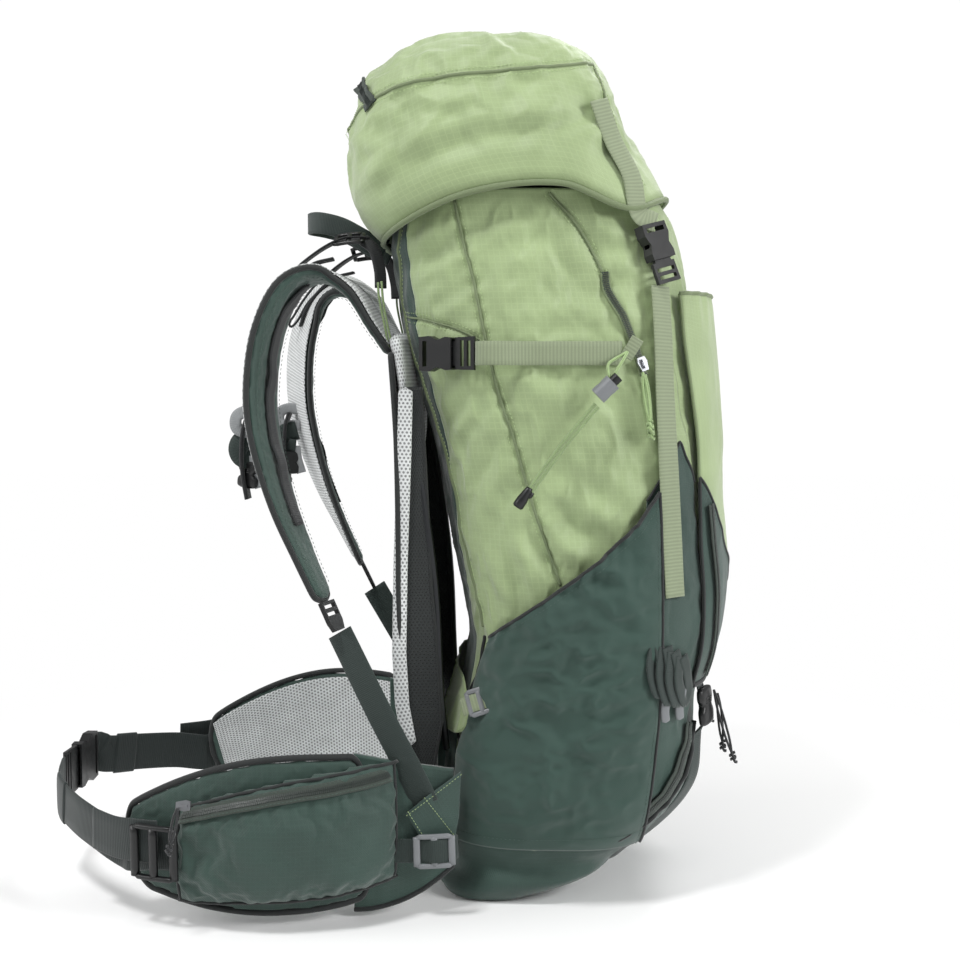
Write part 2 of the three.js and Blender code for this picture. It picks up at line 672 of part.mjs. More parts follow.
// A zipper slider: a wedge body with a bridge for its pull.
function zipSlider() {
  const body = plate([[-6, -3], [-6, 3], [2, 4.5], [6, 3.4], [6, -3.4], [2, -4.5]], 2.6);
  const bridge = block(8, 1.6, 3, V(0, 0, 2.4));
  const hole = block(4, 4, 1.4, V(0, 0, 2.2));
  return cut(join(body, bridge), hole);
}

// ---- the harness --------------------------------------------------------------------------------
const padPath = [V(-24, -62, 172), V(-44, -65, 202), V(-72, -70, 216), V(-98, -80, 202), V(-114, -90, 164),
  V(-119, -100, 115), V(-114, -108, 72), V(-99, -115, 20), V(-81, -120, -23), V(-61, -126, -66)];

function buildHarness() {
  const middleLine = new THREE.CatmullRomCurve3(padPath, false, 'centripetal');
  const facing = (t) => {
    const along = middleLine.getTangentAt(t);
    const side = V(0.12, 1, 0.1 * t).normalize();
    return side.cross(along).negate();
  };
  const width = (t) => padWidth * (0.86 + 0.2 * Math.sin(Math.PI * Math.min(1, t * 1.1)) - 0.34 * t ** 4);
  const thick = (t) => padThick * (0.75 + 0.25 * Math.sin(Math.PI * Math.min(1, t + 0.1)));
  addPair('shoulder_pad', sweep(stationsAlong(padPath, facing, width, thick, 20), softSection), darkCloth);

  const tip = padPath[padPath.length - 1];
  const tipAlong = middleLine.getTangentAt(1);
  const tipFace = facing(1);
  const lockPoint = tip.clone().addScaledVector(tipAlong, 1);
  addPair('strap_lock', seat(ladderLock(shoulderWeb), lockPoint, tipAlong, tipFace), blackPlastic);
  const lockLengthAlong = shoulderWeb * 0.85 + 6 + 1.8;
  const webStart = lockPoint.clone().addScaledVector(tipAlong, lockLengthAlong);
  const webPath = [webStart, V(-12, -145, -161), V(12, -151, -205), V(27, -152, -236)];
  const webFacing = (t) => V(-0.75, -0.55 - 0.4 * t, -0.3).normalize();
  addPair('shoulder_webbing', webbing(webPath, webFacing, shoulderWeb, 8), darkWebbing);

  const lifterPath = [V(-90, -70, 226), V(-72, -66, 240), V(-52, -62, 250), V(-30, -58, 251)];
  addPair('load_lifter', webbing(lifterPath, () => V(-0.5, 0, 1), smallWeb * 0.8, 6), blackWebbing);
}

// ---- the chest strap halves ---------------------------------------------------------------------
function buildChestStrap() {
  const path = [V(-132, -101, 92), V(-136, -101, 78), V(-137, -101, 60),
    V(-136, -101, 40), V(-133, -101, 20)];
  const strap = sweep(stationsAlong(path, () => V(-1, 0, 0), 18, 3, 8), flatSection);
  addPair('chest_strap', strap, blackWebbing);
}

// ---- the hip belt -------------------------------------------------------------------------------
const wingPath = [V(-19, -152, -254), V(-50, -166, -256), V(-100, -175, -258), V(-150, -172, -263),
  V(-200, -160, -270), V(-228, -150, -277)];
const beltPath = [V(-237, -147, -277), V(-262, -130, -270), V(-292, -102, -264), V(-317, -70, -258)];
const buckleCentre = V(-327, 0, -252);
const hipZipStart = V(-166, -207, -222);

function buildHipBelt() {
  const planFacing = (path) => {
    const line = new THREE.CatmullRomCurve3(path, false, 'centripetal');
    return (t) => {
      const along = line.getTangentAt(t);
      return V(along.y, -along.x, 0).normalize().negate();
    };
  };
  const outside = (path) => {
    const inner = planFacing(path);
    return (t) => {
      const n = inner(t);
      return n.y > 0 ? n.negate() : n;
    };
  };
  const height = (t) => wingHeight * (0.86 + 0.14 * Math.sin(Math.PI * t) - 0.42 * t ** 2.2);
  const wing = stationsAlong(wingPath, outside(wingPath), height, (t) => wingThick * (1 - 0.25 * t), 14);
  addPair('hip_wing', sweep(wing, softSection), darkCloth);

  const pocketLine = wingPath.slice(0, 5).map((p, i) => {
    const n = outside(wingPath)(i / 5);
    const lift = wingThick / 2 + hipPocketDepth / 2 + 1.2;
    return p.clone().addScaledVector(n, lift).add(V(i === 0 ? -12 : 0, 0, 2));
  });
  const pocketThick = (t) => hipPocketDepth * (0.35 + 0.65 * Math.sin(Math.PI * mix(0.12, 0.88, t)));
  const pocketHeight = (t) => wingHeight * 0.86 * (1 - 0.38 * t ** 1.6);
  const pocket = stationsAlong(pocketLine, outside(wingPath), pocketHeight, pocketThick, 10);
  addPair('hip_pocket', sweep(pocket, softSection), darkCloth);

  const face = V(-1, 0, 0);
  const mouth = buckleCentre.clone().add(V(0, 4, 0));
  const plugBack = mouth.y - 1.5 - plugBarReach(beltWeb) - 0.8;
  const socketBack = mouth.y + buckleSizes(beltWeb).socketLength + 0.8;
  const beltTo = (endY) => {
    const end = V(buckleCentre.x, endY, buckleCentre.z);
    const path = [...beltPath, end.clone().add(V(0.6, -9, 0)), end];
    return sweep(stationsAlong(path, outside(path), beltWeb, webThick, 12), flatSection);
  };
  add('left_belt_webbing', beltTo(plugBack), blackWebbing);
  add('right_belt_webbing', mirrored(beltTo(-socketBack)), blackWebbing);

  add('belt_buckle_socket', seat(socketHalf(beltWeb), mouth, V(0, 1, 0), face), blackPlastic);
  const plugPoint = mouth.clone().add(V(0, -1.5, 0));
  add('belt_buckle_plug', seat(plugHalf(beltWeb), plugPoint, V(0, 1, 0), face), blackPlastic);

  addPair('hip_zip_slider', seat(zipSlider(), hipZipStart, V(1, 0, 0), V(0, -1, 0.3)), sliderMetal);
}

const sideZip = { from: { x: 207, z: 137 }, to: { x: 179, z: 208 }, lift: 4.5 };

function buildSideZips() {
  const from = onBag(sideZip.from.z, angleAtX(sideZip.from.x, sideZip.from.z), sideZip.lift);
  const to = onBag(sideZip.to.z, angleAtX(sideZip.to.x, sideZip.to.z), sideZip.lift);
  const outward = bagNormal(sideZip.from.z, angleAtX(sideZip.from.x, sideZip.from.z));
  addPair('side_zip_slider', seat(zipSlider(), from, to.sub(from).normalize(), outward), sliderMetal);
}

buildBag();
buildPockets();
buildBack();
buildCompressionStraps();
buildFrontStraps();
buildLidBuckles();
buildBottomStraps();
buildCordLocks();
buildLid();
buildHarness();
buildChestStrap();
buildHipBelt();
buildSideZips();

export default backpack;
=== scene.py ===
import json
import math

import bmesh
import bpy
import numpy as np
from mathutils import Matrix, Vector, noise
from mathutils.bvhtree import BVHTree
from mathutils.kdtree import KDTree

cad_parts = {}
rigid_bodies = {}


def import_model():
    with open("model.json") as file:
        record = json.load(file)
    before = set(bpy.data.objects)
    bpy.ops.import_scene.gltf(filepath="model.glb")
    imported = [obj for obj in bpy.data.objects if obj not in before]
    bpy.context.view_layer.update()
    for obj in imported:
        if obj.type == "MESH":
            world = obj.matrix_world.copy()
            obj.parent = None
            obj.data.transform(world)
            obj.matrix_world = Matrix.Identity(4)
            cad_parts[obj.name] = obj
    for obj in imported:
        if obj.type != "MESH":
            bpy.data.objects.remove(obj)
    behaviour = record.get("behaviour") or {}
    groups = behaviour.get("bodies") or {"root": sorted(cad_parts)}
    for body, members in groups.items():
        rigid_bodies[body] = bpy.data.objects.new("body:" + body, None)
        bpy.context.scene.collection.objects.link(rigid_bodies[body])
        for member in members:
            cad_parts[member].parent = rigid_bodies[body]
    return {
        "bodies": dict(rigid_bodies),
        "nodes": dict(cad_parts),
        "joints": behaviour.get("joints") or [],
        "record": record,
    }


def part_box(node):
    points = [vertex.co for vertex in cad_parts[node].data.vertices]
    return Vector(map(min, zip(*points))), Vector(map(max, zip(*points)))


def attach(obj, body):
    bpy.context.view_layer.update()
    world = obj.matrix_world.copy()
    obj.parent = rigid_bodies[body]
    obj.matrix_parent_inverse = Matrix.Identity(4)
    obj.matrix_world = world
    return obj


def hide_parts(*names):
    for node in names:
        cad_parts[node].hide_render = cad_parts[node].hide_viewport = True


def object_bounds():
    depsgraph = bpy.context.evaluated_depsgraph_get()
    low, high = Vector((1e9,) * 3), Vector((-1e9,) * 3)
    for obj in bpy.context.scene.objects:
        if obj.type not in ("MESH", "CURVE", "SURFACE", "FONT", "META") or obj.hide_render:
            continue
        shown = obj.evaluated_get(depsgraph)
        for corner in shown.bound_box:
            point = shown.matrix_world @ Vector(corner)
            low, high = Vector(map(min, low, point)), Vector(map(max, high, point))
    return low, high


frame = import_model()
CAD_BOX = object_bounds()
NODES = frame["nodes"]
SIDES = (("left", 1), ("right", -1))     # the left side is modelled, and the right is its mirror
FLOOR_GAP = 0.002
SMALL_WEB = 0.0195                       # across a 20 mm strap
WEB_THICK = 0.0017
SEAM_STITCH = (0.0036, 0.0026, 0.0007, 0.0007)     # step, length, width and height of a sewn row's stitches
POCKET_STITCH = (0.0038, 0.0026, 0.0007, 0.0007)
FINE_STITCH = (0.0034, 0.0024, 0.0006, 0.0006)


# ---- camera, light and floor --------------------------------------------------------------------
def make_camera():
    target = Vector((0.068, 0.0, 0.030))
    turn, climb, away = math.radians(2.05), math.radians(3.9), 1.25
    back = Vector((math.sin(turn) * math.cos(climb), -math.cos(turn) * math.cos(climb), math.sin(climb)))
    data = bpy.data.cameras.new("camera")
    data.lens = 49.3
    data.sensor_width = 36
    camera = bpy.data.objects.new("camera", data)
    camera.location = target + back * away
    camera.rotation_euler = (-back).to_track_quat("-Z", "Y").to_euler()
    show(camera)
    bpy.context.scene.camera = camera


def make_studio():
    world = bpy.data.worlds.new("studio")
    bpy.context.scene.world = world
    world.use_nodes = True
    background = world.node_tree.nodes["Background"]
    background.inputs["Color"].default_value = (1, 1, 1, 1)
    bpy.context.scene.view_settings.view_transform = "Standard"
    # The backdrop is white; the light that it sends onto the pack is dimmer, so that folds still shade.
    tree = world.node_tree
    path = tree.nodes.new("ShaderNodeLightPath")
    level = tree.nodes.new("ShaderNodeMapRange")
    level.inputs["To Min"].default_value = 0.36
    level.inputs["To Max"].default_value = 1.02
    tree.links.new(path.outputs["Is Camera Ray"], level.inputs["Value"])
    tree.links.new(level.outputs["Result"], background.inputs["Strength"])
    lights = [("key", (-0.7, -1.0, 2.1), 0.5, 32), ("fill", (2.0, -1.0, 0.9), 0.8, 34),
              ("rim", (0.9, 1.2, 2.0), 1.0, 24), ("back", (-1.9, -0.5, 0.7), 0.9, 12)]
    for name, place, size, power in lights:
        data = bpy.data.lights.new(name, "AREA")
        data.shape = "DISK"
        data.size = size
        data.energy = power
        lamp = bpy.data.objects.new(name, data)
        lamp.location = place
        lamp.rotation_euler = (Vector((0.05, 0, 0)) - lamp.location).to_track_quat("-Z", "Y").to_euler()
        show(lamp)
    under = CAD_BOX[0][2] - FLOOR_GAP
    mesh = bpy.data.meshes.new("floor")
    mesh.from_pydata([(-6, -6, under), (6, -6, under), (6, 6, under), (-6, 6, under)], [], [(0, 1, 2, 3)])
    floor = show(bpy.data.objects.new("floor", mesh))
    floor.data.materials.append(make_paper())


def make_paper():
    """The floor: pale paper under the pack that glows evenly white further out, so no horizon shows."""
    material = plain("floor_paper", (0.97, 0.97, 0.97), 1.0)
    tree = material.node_tree
    paper = tree.nodes["Principled BSDF"]
    glow = tree.nodes.new("ShaderNodeEmission")
    place = tree.nodes.new("ShaderNodeTexCoord")
    reach = tree.nodes.new("ShaderNodeVectorMath")
    reach.operation = "LENGTH"
    share = tree.nodes.new("ShaderNodeMapRange")
    share.interpolation_type = "SMOOTHSTEP"
    share.inputs["From Min"].default_value = 0.55
    share.inputs["From Max"].default_value = 0.95
    both = tree.nodes.new("ShaderNodeMixShader")
    out = next(n for n in tree.nodes if n.type == "OUTPUT_MATERIAL")
    tree.links.new(place.outputs["Object"], reach.inputs[0])
    tree.links.new(reach.outputs["Value"], share.inputs["Value"])
    tree.links.new(share.outputs["Result"], both.inputs[0])
    tree.links.new(paper.outputs[0], both.inputs[1])
    tree.links.new(glow.outputs[0], both.inputs[2])
    tree.links.new(both.outputs[0], out.inputs["Surface"])
    return material


# ---- materials ----------------------------------------------------------------------------------
class Shader:
    """A material being built: its tree, and short calls for the few kinds of node it uses."""

    def __init__(self, name, color, roughness, metallic=0.0, sheen=0.0, coat=0.0):
        self.material = bpy.data.materials.new(name)
        self.material.use_nodes = True
        self.material.diffuse_color = (*color, 1)
        self.tree = self.material.node_tree
        self.surface = self.tree.nodes["Principled BSDF"]
        self.surface.inputs["Base Color"].default_value = (*color, 1)
        self.surface.inputs["Roughness"].default_value = roughness
        self.surface.inputs["Metallic"].default_value = metallic
        self.surface.inputs["Sheen Weight"].default_value = sheen
        self.surface.inputs["Coat Weight"].default_value = coat
        self.color = color

    def node(self, kind, settings=None, **inputs):
        made = self.tree.nodes.new("ShaderNode" + kind)
        for key, value in (settings or {}).items():
            setattr(made, key, value)
        for key, value in inputs.items():
            numbered = key[0] == "_" and key[1:].isdigit()
            socket = made.inputs[int(key[1:]) if numbered else key.replace("_", " ")]
            if isinstance(value, bpy.types.NodeSocket):
                self.tree.links.new(value, socket)
            else:
                socket.default_value = value
        return made

    def math(self, operation, a, b=0.0, c=0.0):
        return self.node("Math", {"operation": operation}, _0=a, _1=b, _2=c).outputs[0]

    def times(self, a, b):
        return self.math("MULTIPLY", a, b)

    def fit(self, a, scale, offset):
        return self.math("MULTIPLY_ADD", a, scale, offset)

    def wave(self, along, step):
        """A sine along a surface, one wave to a step."""
        return self.math("SINE", self.times(along, 2 * math.pi / step))

    def uv(self):
        separate = self.node("SeparateXYZ", None, Vector=self.node("UVMap", {"uv_map": "UVMap"}).outputs[0])
        return separate.outputs[0], separate.outputs[1]

    def side_on(self):
        """Across and up as seen from the side, for a piece with no unwrapping of its own."""
        parts = self.node("SeparateXYZ", None, _0=self.place())
        across = self.math("MULTIPLY_ADD", parts.outputs["Y"], 0.6, parts.outputs["X"])
        return across, parts.outputs["Z"]

    def place(self):
        return self.node("TexCoord").outputs["Object"]

    def noise(self, scale, detail=3.0, at=None):
        made = self.node("TexNoise", None, Vector=at or self.place(), Scale=scale, Detail=detail)
        return made.outputs["Fac"]

    def ramp(self, value, stops):
        made = self.node("ValToRGB", None, Fac=value)
        ramp = made.color_ramp
        while len(ramp.elements) < len(stops):
            ramp.elements.new(0.5)
        for element, (at, color) in zip(ramp.elements, stops):
            element.position = at
            element.color = (*color, 1)
        return made.outputs["Color"]

    def mix(self, amount, a, b):
        made = self.node("Mix", {"data_type": "RGBA"}, _0=amount)
        for socket, value in ((made.inputs[6], a), (made.inputs[7], b)):
            if isinstance(value, bpy.types.NodeSocket):
                self.tree.links.new(value, socket)
            else:
                socket.default_value = (*value, 1)
        return made.outputs[2]

    def paint(self, socket):
        self.tree.links.new(socket, self.surface.inputs["Base Color"])

    def rough(self, socket):
        self.tree.links.new(socket, self.surface.inputs["Roughness"])

    def bump(self, height, distance, strength=1.0):
        made = self.node("Bump", None, Strength=strength, Distance=distance, Height=height)
        before = self.surface.inputs["Normal"].links
        if before:
            self.tree.links.new(before[0].from_socket, made.inputs["Normal"])
        self.tree.links.new(made.outputs[0], self.surface.inputs["Normal"])


def shade(color, amount):
    return tuple(max(0.0, min(1.0, c * amount)) for c in color)


def plain(name, color, roughness):
    return Shader(name, color, roughness).material


def cloth(name, color, thread=0.0009, grid=0.0, roughness=0.82, sheen=0.25, blotch=0.10, relief=0.00012,
        crease=0.0004, weave=0.16, sewn=True):
    """Woven cloth: threads both ways, a ripstop grid where grid is given, soft blotches and fine creases."""
    s = Shader(name, color, roughness, sheen=sheen)
    u, v = s.uv() if sewn else s.side_on()
    over = s.wave(u, thread)
    under = s.wave(v, thread)
    woven = s.fit(s.times(over, under), 0.5, 0.5)
    cloud = s.noise(18.0, 4.0)
    grain = s.noise(900.0, 2.0)
    tone = s.math("ADD", s.times(cloud, 0.75), s.times(grain, 0.25))
    painted = s.ramp(tone, [(0.25, shade(color, 1 - 1.6 * blotch)), (0.75, shade(color, 1 + 1.6 * blotch))])
    threads = s.mix(s.times(woven, weave), painted, shade(color, 0.5))
    s.bump(woven, relief, 0.5)
    if grid:
        lines = None
        for axis in (u, v):
            near = s.math("PINGPONG", axis, grid / 2)
            line = s.math("LESS_THAN", near, 0.00042)
            lines = line if lines is None else s.math("MAXIMUM", lines, line)
        threads = s.mix(s.times(lines, 0.2), threads, shade(color, 1.3))
        s.bump(lines, relief * 1.2, 0.35)
    s.paint(threads)
    s.bump(s.noise(75.0, 5.0), crease, 0.55)
    return s.material


def ribbed(name, color, rib=0.0016, roughness=0.72, edge=0.86, sheen=0.2):
    """Webbing: ribs across it and the small unevenness of its weave."""
    s = Shader(name, color, roughness, sheen=sheen)
    u, v = s.uv()
    ribs = s.fit(s.wave(v, rib), 0.5, 0.5)
    warp = s.fit(s.wave(u, 0.0013), 0.5, 0.5)
    weave = s.times(ribs, s.fit(warp, 0.35, 0.65))
    tone = s.fit(s.noise(40.0, 4.0), 0.6, s.times(s.noise(1200.0, 2.0), 0.4))
    painted = s.ramp(tone, [(0.25, shade(color, edge)), (0.75, shade(color, 2 - edge))])
    # Painted shade: the grooves between the ribs are darkened towards 0.55 of the colour and the raised ribs
    # are left lighter, following the same ribs that are bumped below.
    s.paint(s.mix(s.times(weave, 0.35), shade(color, 0.55), painted))
    s.bump(weave, 0.0003, 0.6)
    return s.material


def spacer(name, color, hole=0.0036, depth=0.0006):
    """Air mesh: a staggered field of round holes between soft raised yarns."""
    s = Shader(name, color, 0.9, sheen=0.3)
    u, v = s.uv()
    row = s.math("FLOOR", s.math("DIVIDE", v, hole * 0.87))
    shift = s.times(s.math("PINGPONG", row, 1.0), hole / 2)
    across = s.math("SUBTRACT", s.times(s.math("FRACT", s.math("DIVIDE", s.math("ADD", u, shift), hole)),
            hole), hole / 2)
    along = s.math("SUBTRACT", s.times(s.math("FRACT", s.math("DIVIDE", v, hole * 0.87)), hole * 0.87),
            hole * 0.435)
    distance = s.math("SQRT", s.math("ADD", s.times(across, across), s.times(along, along)))
    rim = s.node("MapRange", {"interpolation_type": "SMOOTHSTEP"}, _0=distance, _1=hole * 0.2,
            _2=hole * 0.36, _3=0.0, _4=1.0).outputs[0]
    tone = s.ramp(s.noise(60.0, 4.0), [(0.3, shade(color, 0.9)), (0.7, shade(color, 1.06))])
    # Painted shade: each hole is painted dark, down to a third of the colour, standing in for the shade
    # inside it; the holes are also bumped in.
    s.paint(s.mix(rim, shade(color, 0.33), tone))
    s.bump(rim, depth, 0.8)
    return s.material


def moulded(name, color, roughness, coat=0.0):
    """Moulded plastic: a satin skin with a fine spark texture and lighter worn spots."""
    s = Shader(name, color, roughness, coat=coat)
    wear = s.noise(35.0, 5.0)
    s.paint(s.ramp(wear, [(0.35, shade(color, 0.9)), (0.66, color), (0.85, shade(color, 1.3))]))
    s.rough(s.fit(s.noise(160.0, 3.0), 0.25, roughness - 0.1))
    s.bump(s.noise(1500.0, 2.0), 0.00005, 0.5)
    return s.material


def metal(name, color, roughness):
    s = Shader(name, color, roughness, metallic=1.0)
    s.rough(s.fit(s.noise(220.0, 4.0), 0.25, roughness - 0.08))
    s.bump(s.noise(900.0, 3.0), 0.00003, 0.4)
    return s.material


def braided(name, color, pitch=0.0024):
    """Braided cord: strands that wind both ways round it."""
    s = Shader(name, color, 0.75, sheen=0.3)
    u, v = s.uv()
    one = s.math("SINE", s.times(s.math("ADD", s.times(u, 0.6), v), 2 * math.pi / pitch))
    two = s.math("SINE", s.times(s.math("SUBTRACT", v, s.times(u, 0.6)), 2 * math.pi / pitch))
    strands = s.fit(s.times(one, two), 0.5, 0.5)
    # Painted shade: the gaps between the strands are darkened towards 0.6 of the colour, where the strands'
    # bump is lowest.
    s.paint(s.mix(strands, shade(color, 0.6),
            s.ramp(s.noise(90.0, 3.0), [(0.3, shade(color, 0.9)), (0.7, shade(color, 1.1))])))
    s.bump(strands, 0.0003, 0.8)
    return s.material


SAGE = (0.315, 0.405, 0.200)
FOREST = (0.026, 0.060, 0.047)


def make_materials():
    heavy = dict(thread=0.0021, grid=0.0042, roughness=0.66, relief=0.00030, blotch=0.16, crease=0.0006,
            weave=0.5)
    return {
        "light_cloth": cloth("light_cloth", SAGE, thread=0.0012, grid=0.0052, roughness=0.56, crease=0.0009,
        sheen=0.35, weave=0.2),
        "dark_cloth": cloth("dark_cloth", FOREST, **heavy),
        "padded_cloth": cloth("padded_cloth", FOREST, sewn=False, **heavy),
        "stretch_cloth": cloth("stretch_cloth", shade(FOREST, 1.05), thread=0.0016, roughness=0.85,
        relief=0.0003, crease=0.0005),
        "spacer_mesh": spacer("spacer_mesh", (0.66, 0.68, 0.68)),
        "dark_webbing": ribbed("dark_webbing", (0.022, 0.042, 0.036)),
        "light_webbing": ribbed("light_webbing", (0.37, 0.44, 0.27), rib=0.0030),
        "black_webbing": ribbed("black_webbing", (0.010, 0.012, 0.014)),
        "cord": braided("cord", (0.36, 0.50, 0.22)),
        "black_plastic": moulded("black_plastic", (0.006, 0.0065, 0.007), 0.36),
        "grey_plastic": moulded("grey_plastic", (0.19, 0.20, 0.21), 0.38),
        "rod_steel": metal("rod_steel", (0.045, 0.047, 0.05), 0.4),
        "slider_metal": metal("slider_metal", (0.38, 0.39, 0.41), 0.32),
        "piping": ribbed("piping", shade(SAGE, 0.80), rib=0.0011),
        "thread": plain("thread", shade(SAGE, 1.25), 0.7),
        "dark_thread": plain("dark_thread", (0.06, 0.10, 0.08), 0.7),
        "binding": ribbed("binding", (0.012, 0.016, 0.016), rib=0.0012),
        "black_cord": braided("black_cord", (0.016, 0.018, 0.02)),
        "zip_tape": ribbed("zip_tape", (0.05, 0.07, 0.055), rib=0.0009),
        "zip_teeth": moulded("zip_teeth", (0.035, 0.045, 0.04), 0.4),
        "belt_webbing": ribbed("belt_webbing", (0.016, 0.028, 0.026), rib=0.0022),
        "grey_webbing": ribbed("grey_webbing", (0.42, 0.44, 0.45), rib=0.0014),
        "black_mesh": spacer("black_mesh", (0.018, 0.022, 0.022), 0.0030),
    }


# ---- mesh helpers -------------------------------------------------------------------------------
def point(x, y, z):
    """A point given in millimetres."""
    return Vector((x, y, z)) / 1000


def on_side(points, side):
    """Points given in millimetres on the left side, on the side asked for."""
    return [flip(point(*p), side) for p in points]


def show(thing):
    """Puts a new object in the scene."""
    bpy.context.scene.collection.objects.link(thing)
    return thing


def unit(rows):
    return rows / np.maximum(np.linalg.norm(rows, axis=-1, keepdims=True), 1e-12)


def make(name, vertices, faces, material, uvs=None, smooth=True, outwards=True):
    """A mesh object from points and faces, with its faces turned outwards where it is closed."""
    mesh = bpy.data.meshes.new(name)
    mesh.from_pydata([tuple(v) for v in vertices], [], faces)
    if uvs is not None:
        layer = mesh.uv_layers.new(name="UVMap")
        flat = np.array([uvs[i] for f in faces for i in f],
                dtype=np.float32) if len(uvs) == len(vertices) else np.array(uvs, dtype=np.float32)
        layer.data.foreach_set("uv", flat.ravel())
    mesh.polygons.foreach_set("use_smooth", [smooth] * len(mesh.polygons))
    mesh.validate()
    if outwards:
        edit = bmesh.new()
        edit.from_mesh(mesh)
        bmesh.ops.recalc_face_normals(edit, faces=edit.faces)
        edit.to_mesh(mesh)
        edit.free()
    piece = show(bpy.data.objects.new(name, mesh))
    mesh.materials.append(MATERIALS[material])
    return piece


def settle(piece, body, nodes=()):
    """Fixes a finished piece to its body and hides the solids it stands for."""
    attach(piece, body)
    if nodes:
        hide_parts(*nodes)
    return piece


def curve_through(points, count):
    """count points evenly along a smooth path through the given ones."""
    p = np.array([tuple(q) for q in points], dtype=float)
    if len(p) == 2:
        return p[0] + (p[1] - p[0]) * np.linspace(0, 1, count)[:, None]
    ends = np.vstack([2 * p[0] - p[1], p, 2 * p[-1] - p[-2]])
    fine = []
    for i in range(1, len(ends) - 2):
        a, b, c, d = ends[i - 1:i + 3]
        t = np.linspace(0, 1, 24, endpoint=False)[:, None]
        fine.append(0.5 * (2 * b + (c - a) * t + (2 * a - 5 * b + 4 * c - d) * t ** 2
                + (3 * b - a - 3 * c + d) * t ** 3))
    fine = np.vstack(fine + [p[-1:]])
    return evenly(fine, count)


def points_of(mesh):
    p = np.empty(len(mesh.vertices) * 3)
    mesh.vertices.foreach_get("co", p)
    return p.reshape(-1, 3)


def side_curve(points, count):
    """A smooth path through (x, z) places given in millimetres, seen from the side."""
    return curve_through([(x / 1000, 0, z / 1000) for x, z in points], count)


def reach_of(p):
    """How far along a path each of its points lies."""
    return np.concatenate([[0], np.cumsum(np.linalg.norm(np.diff(p, axis=0), axis=1))])


def evenly(p, count):
    reach = reach_of(p)
    want = np.linspace(0, reach[-1], count)
    return np.stack([np.interp(want, reach, p[:, k]) for k in range(p.shape[1])], axis=1)


def puffed(piece, sewn, pressure=4.0, growth=0.05, voxel=0.004, limit=0.007, flat=None):
    """Lets a padded piece swell against its sewn edges, which stay where they are."""
    scene = bpy.context.scene
    name, materials = piece.name, list(piece.data.materials)

    def baked():
        bpy.context.view_layer.update()
        mesh = bpy.data.meshes.new_from_object(piece.evaluated_get(bpy.context.evaluated_depsgraph_get()))
        piece.modifiers.clear()
        piece.data = mesh
        return mesh

    even = piece.modifiers.new("even", "REMESH")
    even.mode = "VOXEL"
    even.voxel_size = voxel
    mesh = baked()
    start = np.array([tuple(v.co) for v in mesh.vertices])
    if flat is not None:
        sewn = np.vstack([sewn, flat.reshape(-1, 3)])
    tree = KDTree(len(sewn))
    for i, p in enumerate(sewn):
        tree.insert(p, i)
    tree.balance()
    held = piece.vertex_groups.new(name="sewn")
    for i, p in enumerate(start):
        weight = min(1.0, max(0.0, 1.6 - tree.find(p)[2] / 0.008))
        if weight > 0:
            held.add([i], weight, "REPLACE")
    swell = piece.modifiers.new("swell", "CLOTH")
    set_up = swell.settings
    set_up.quality = 4
    set_up.mass = 0.2
    set_up.tension_stiffness = set_up.compression_stiffness = 10
    set_up.shear_stiffness = 4
    set_up.bending_stiffness = 0.02
    set_up.air_damping = 3
    set_up.vertex_group_mass = "sewn"
    set_up.use_pressure = True
    set_up.uniform_pressure_force = pressure
    set_up.shrink_min = -growth
    set_up.effector_weights.gravity = 0
    swell.collision_settings.use_collision = False
    swell.point_cache.frame_start, swell.point_cache.frame_end = 1, 20
    for frame in range(1, 21):
        scene.frame_set(frame)
    mesh = baked()
    end = np.array([tuple(v.co) for v in mesh.vertices])
    move = end - start
    far = np.linalg.norm(move, axis=1, keepdims=True)
    end = start + move * np.minimum(1, limit / np.maximum(far, 1e-9))
    mesh.vertices.foreach_set("co", end.astype(np.float32).ravel())
    scene.frame_set(1)
    piece.modifiers.new("smooth", "SUBSURF").levels = 1
    mesh = baked()
    piece.vertex_groups.clear()
    mesh.name = name
    mesh.materials.clear()
    for material in materials:
        mesh.materials.append(material)
    mesh.polygons.foreach_set("use_smooth", [True] * len(mesh.polygons))
    return piece


def rim_of(middle, across, widths, corner, proud):
    """The closed outline of a swept cushion with rounded ends, lifted a little off its edge."""
    reach = reach_of(middle)
    t = np.clip(1 - np.minimum(reach, reach[-1] - reach) / corner, 0, 1)
    half = widths / 2 * np.sqrt(np.maximum(1 - t ** 2, 0.0004)) + proud
    top, low = middle + across * half[:, None], middle - across * half[:, None]
    return np.vstack([top, low[::-1], top[:1]])


def length_of(p):
    return float(np.sum(np.linalg.norm(np.diff(np.asarray(p), axis=0), axis=1)))


def tangents(p):
    return unit(np.gradient(p, axis=0))


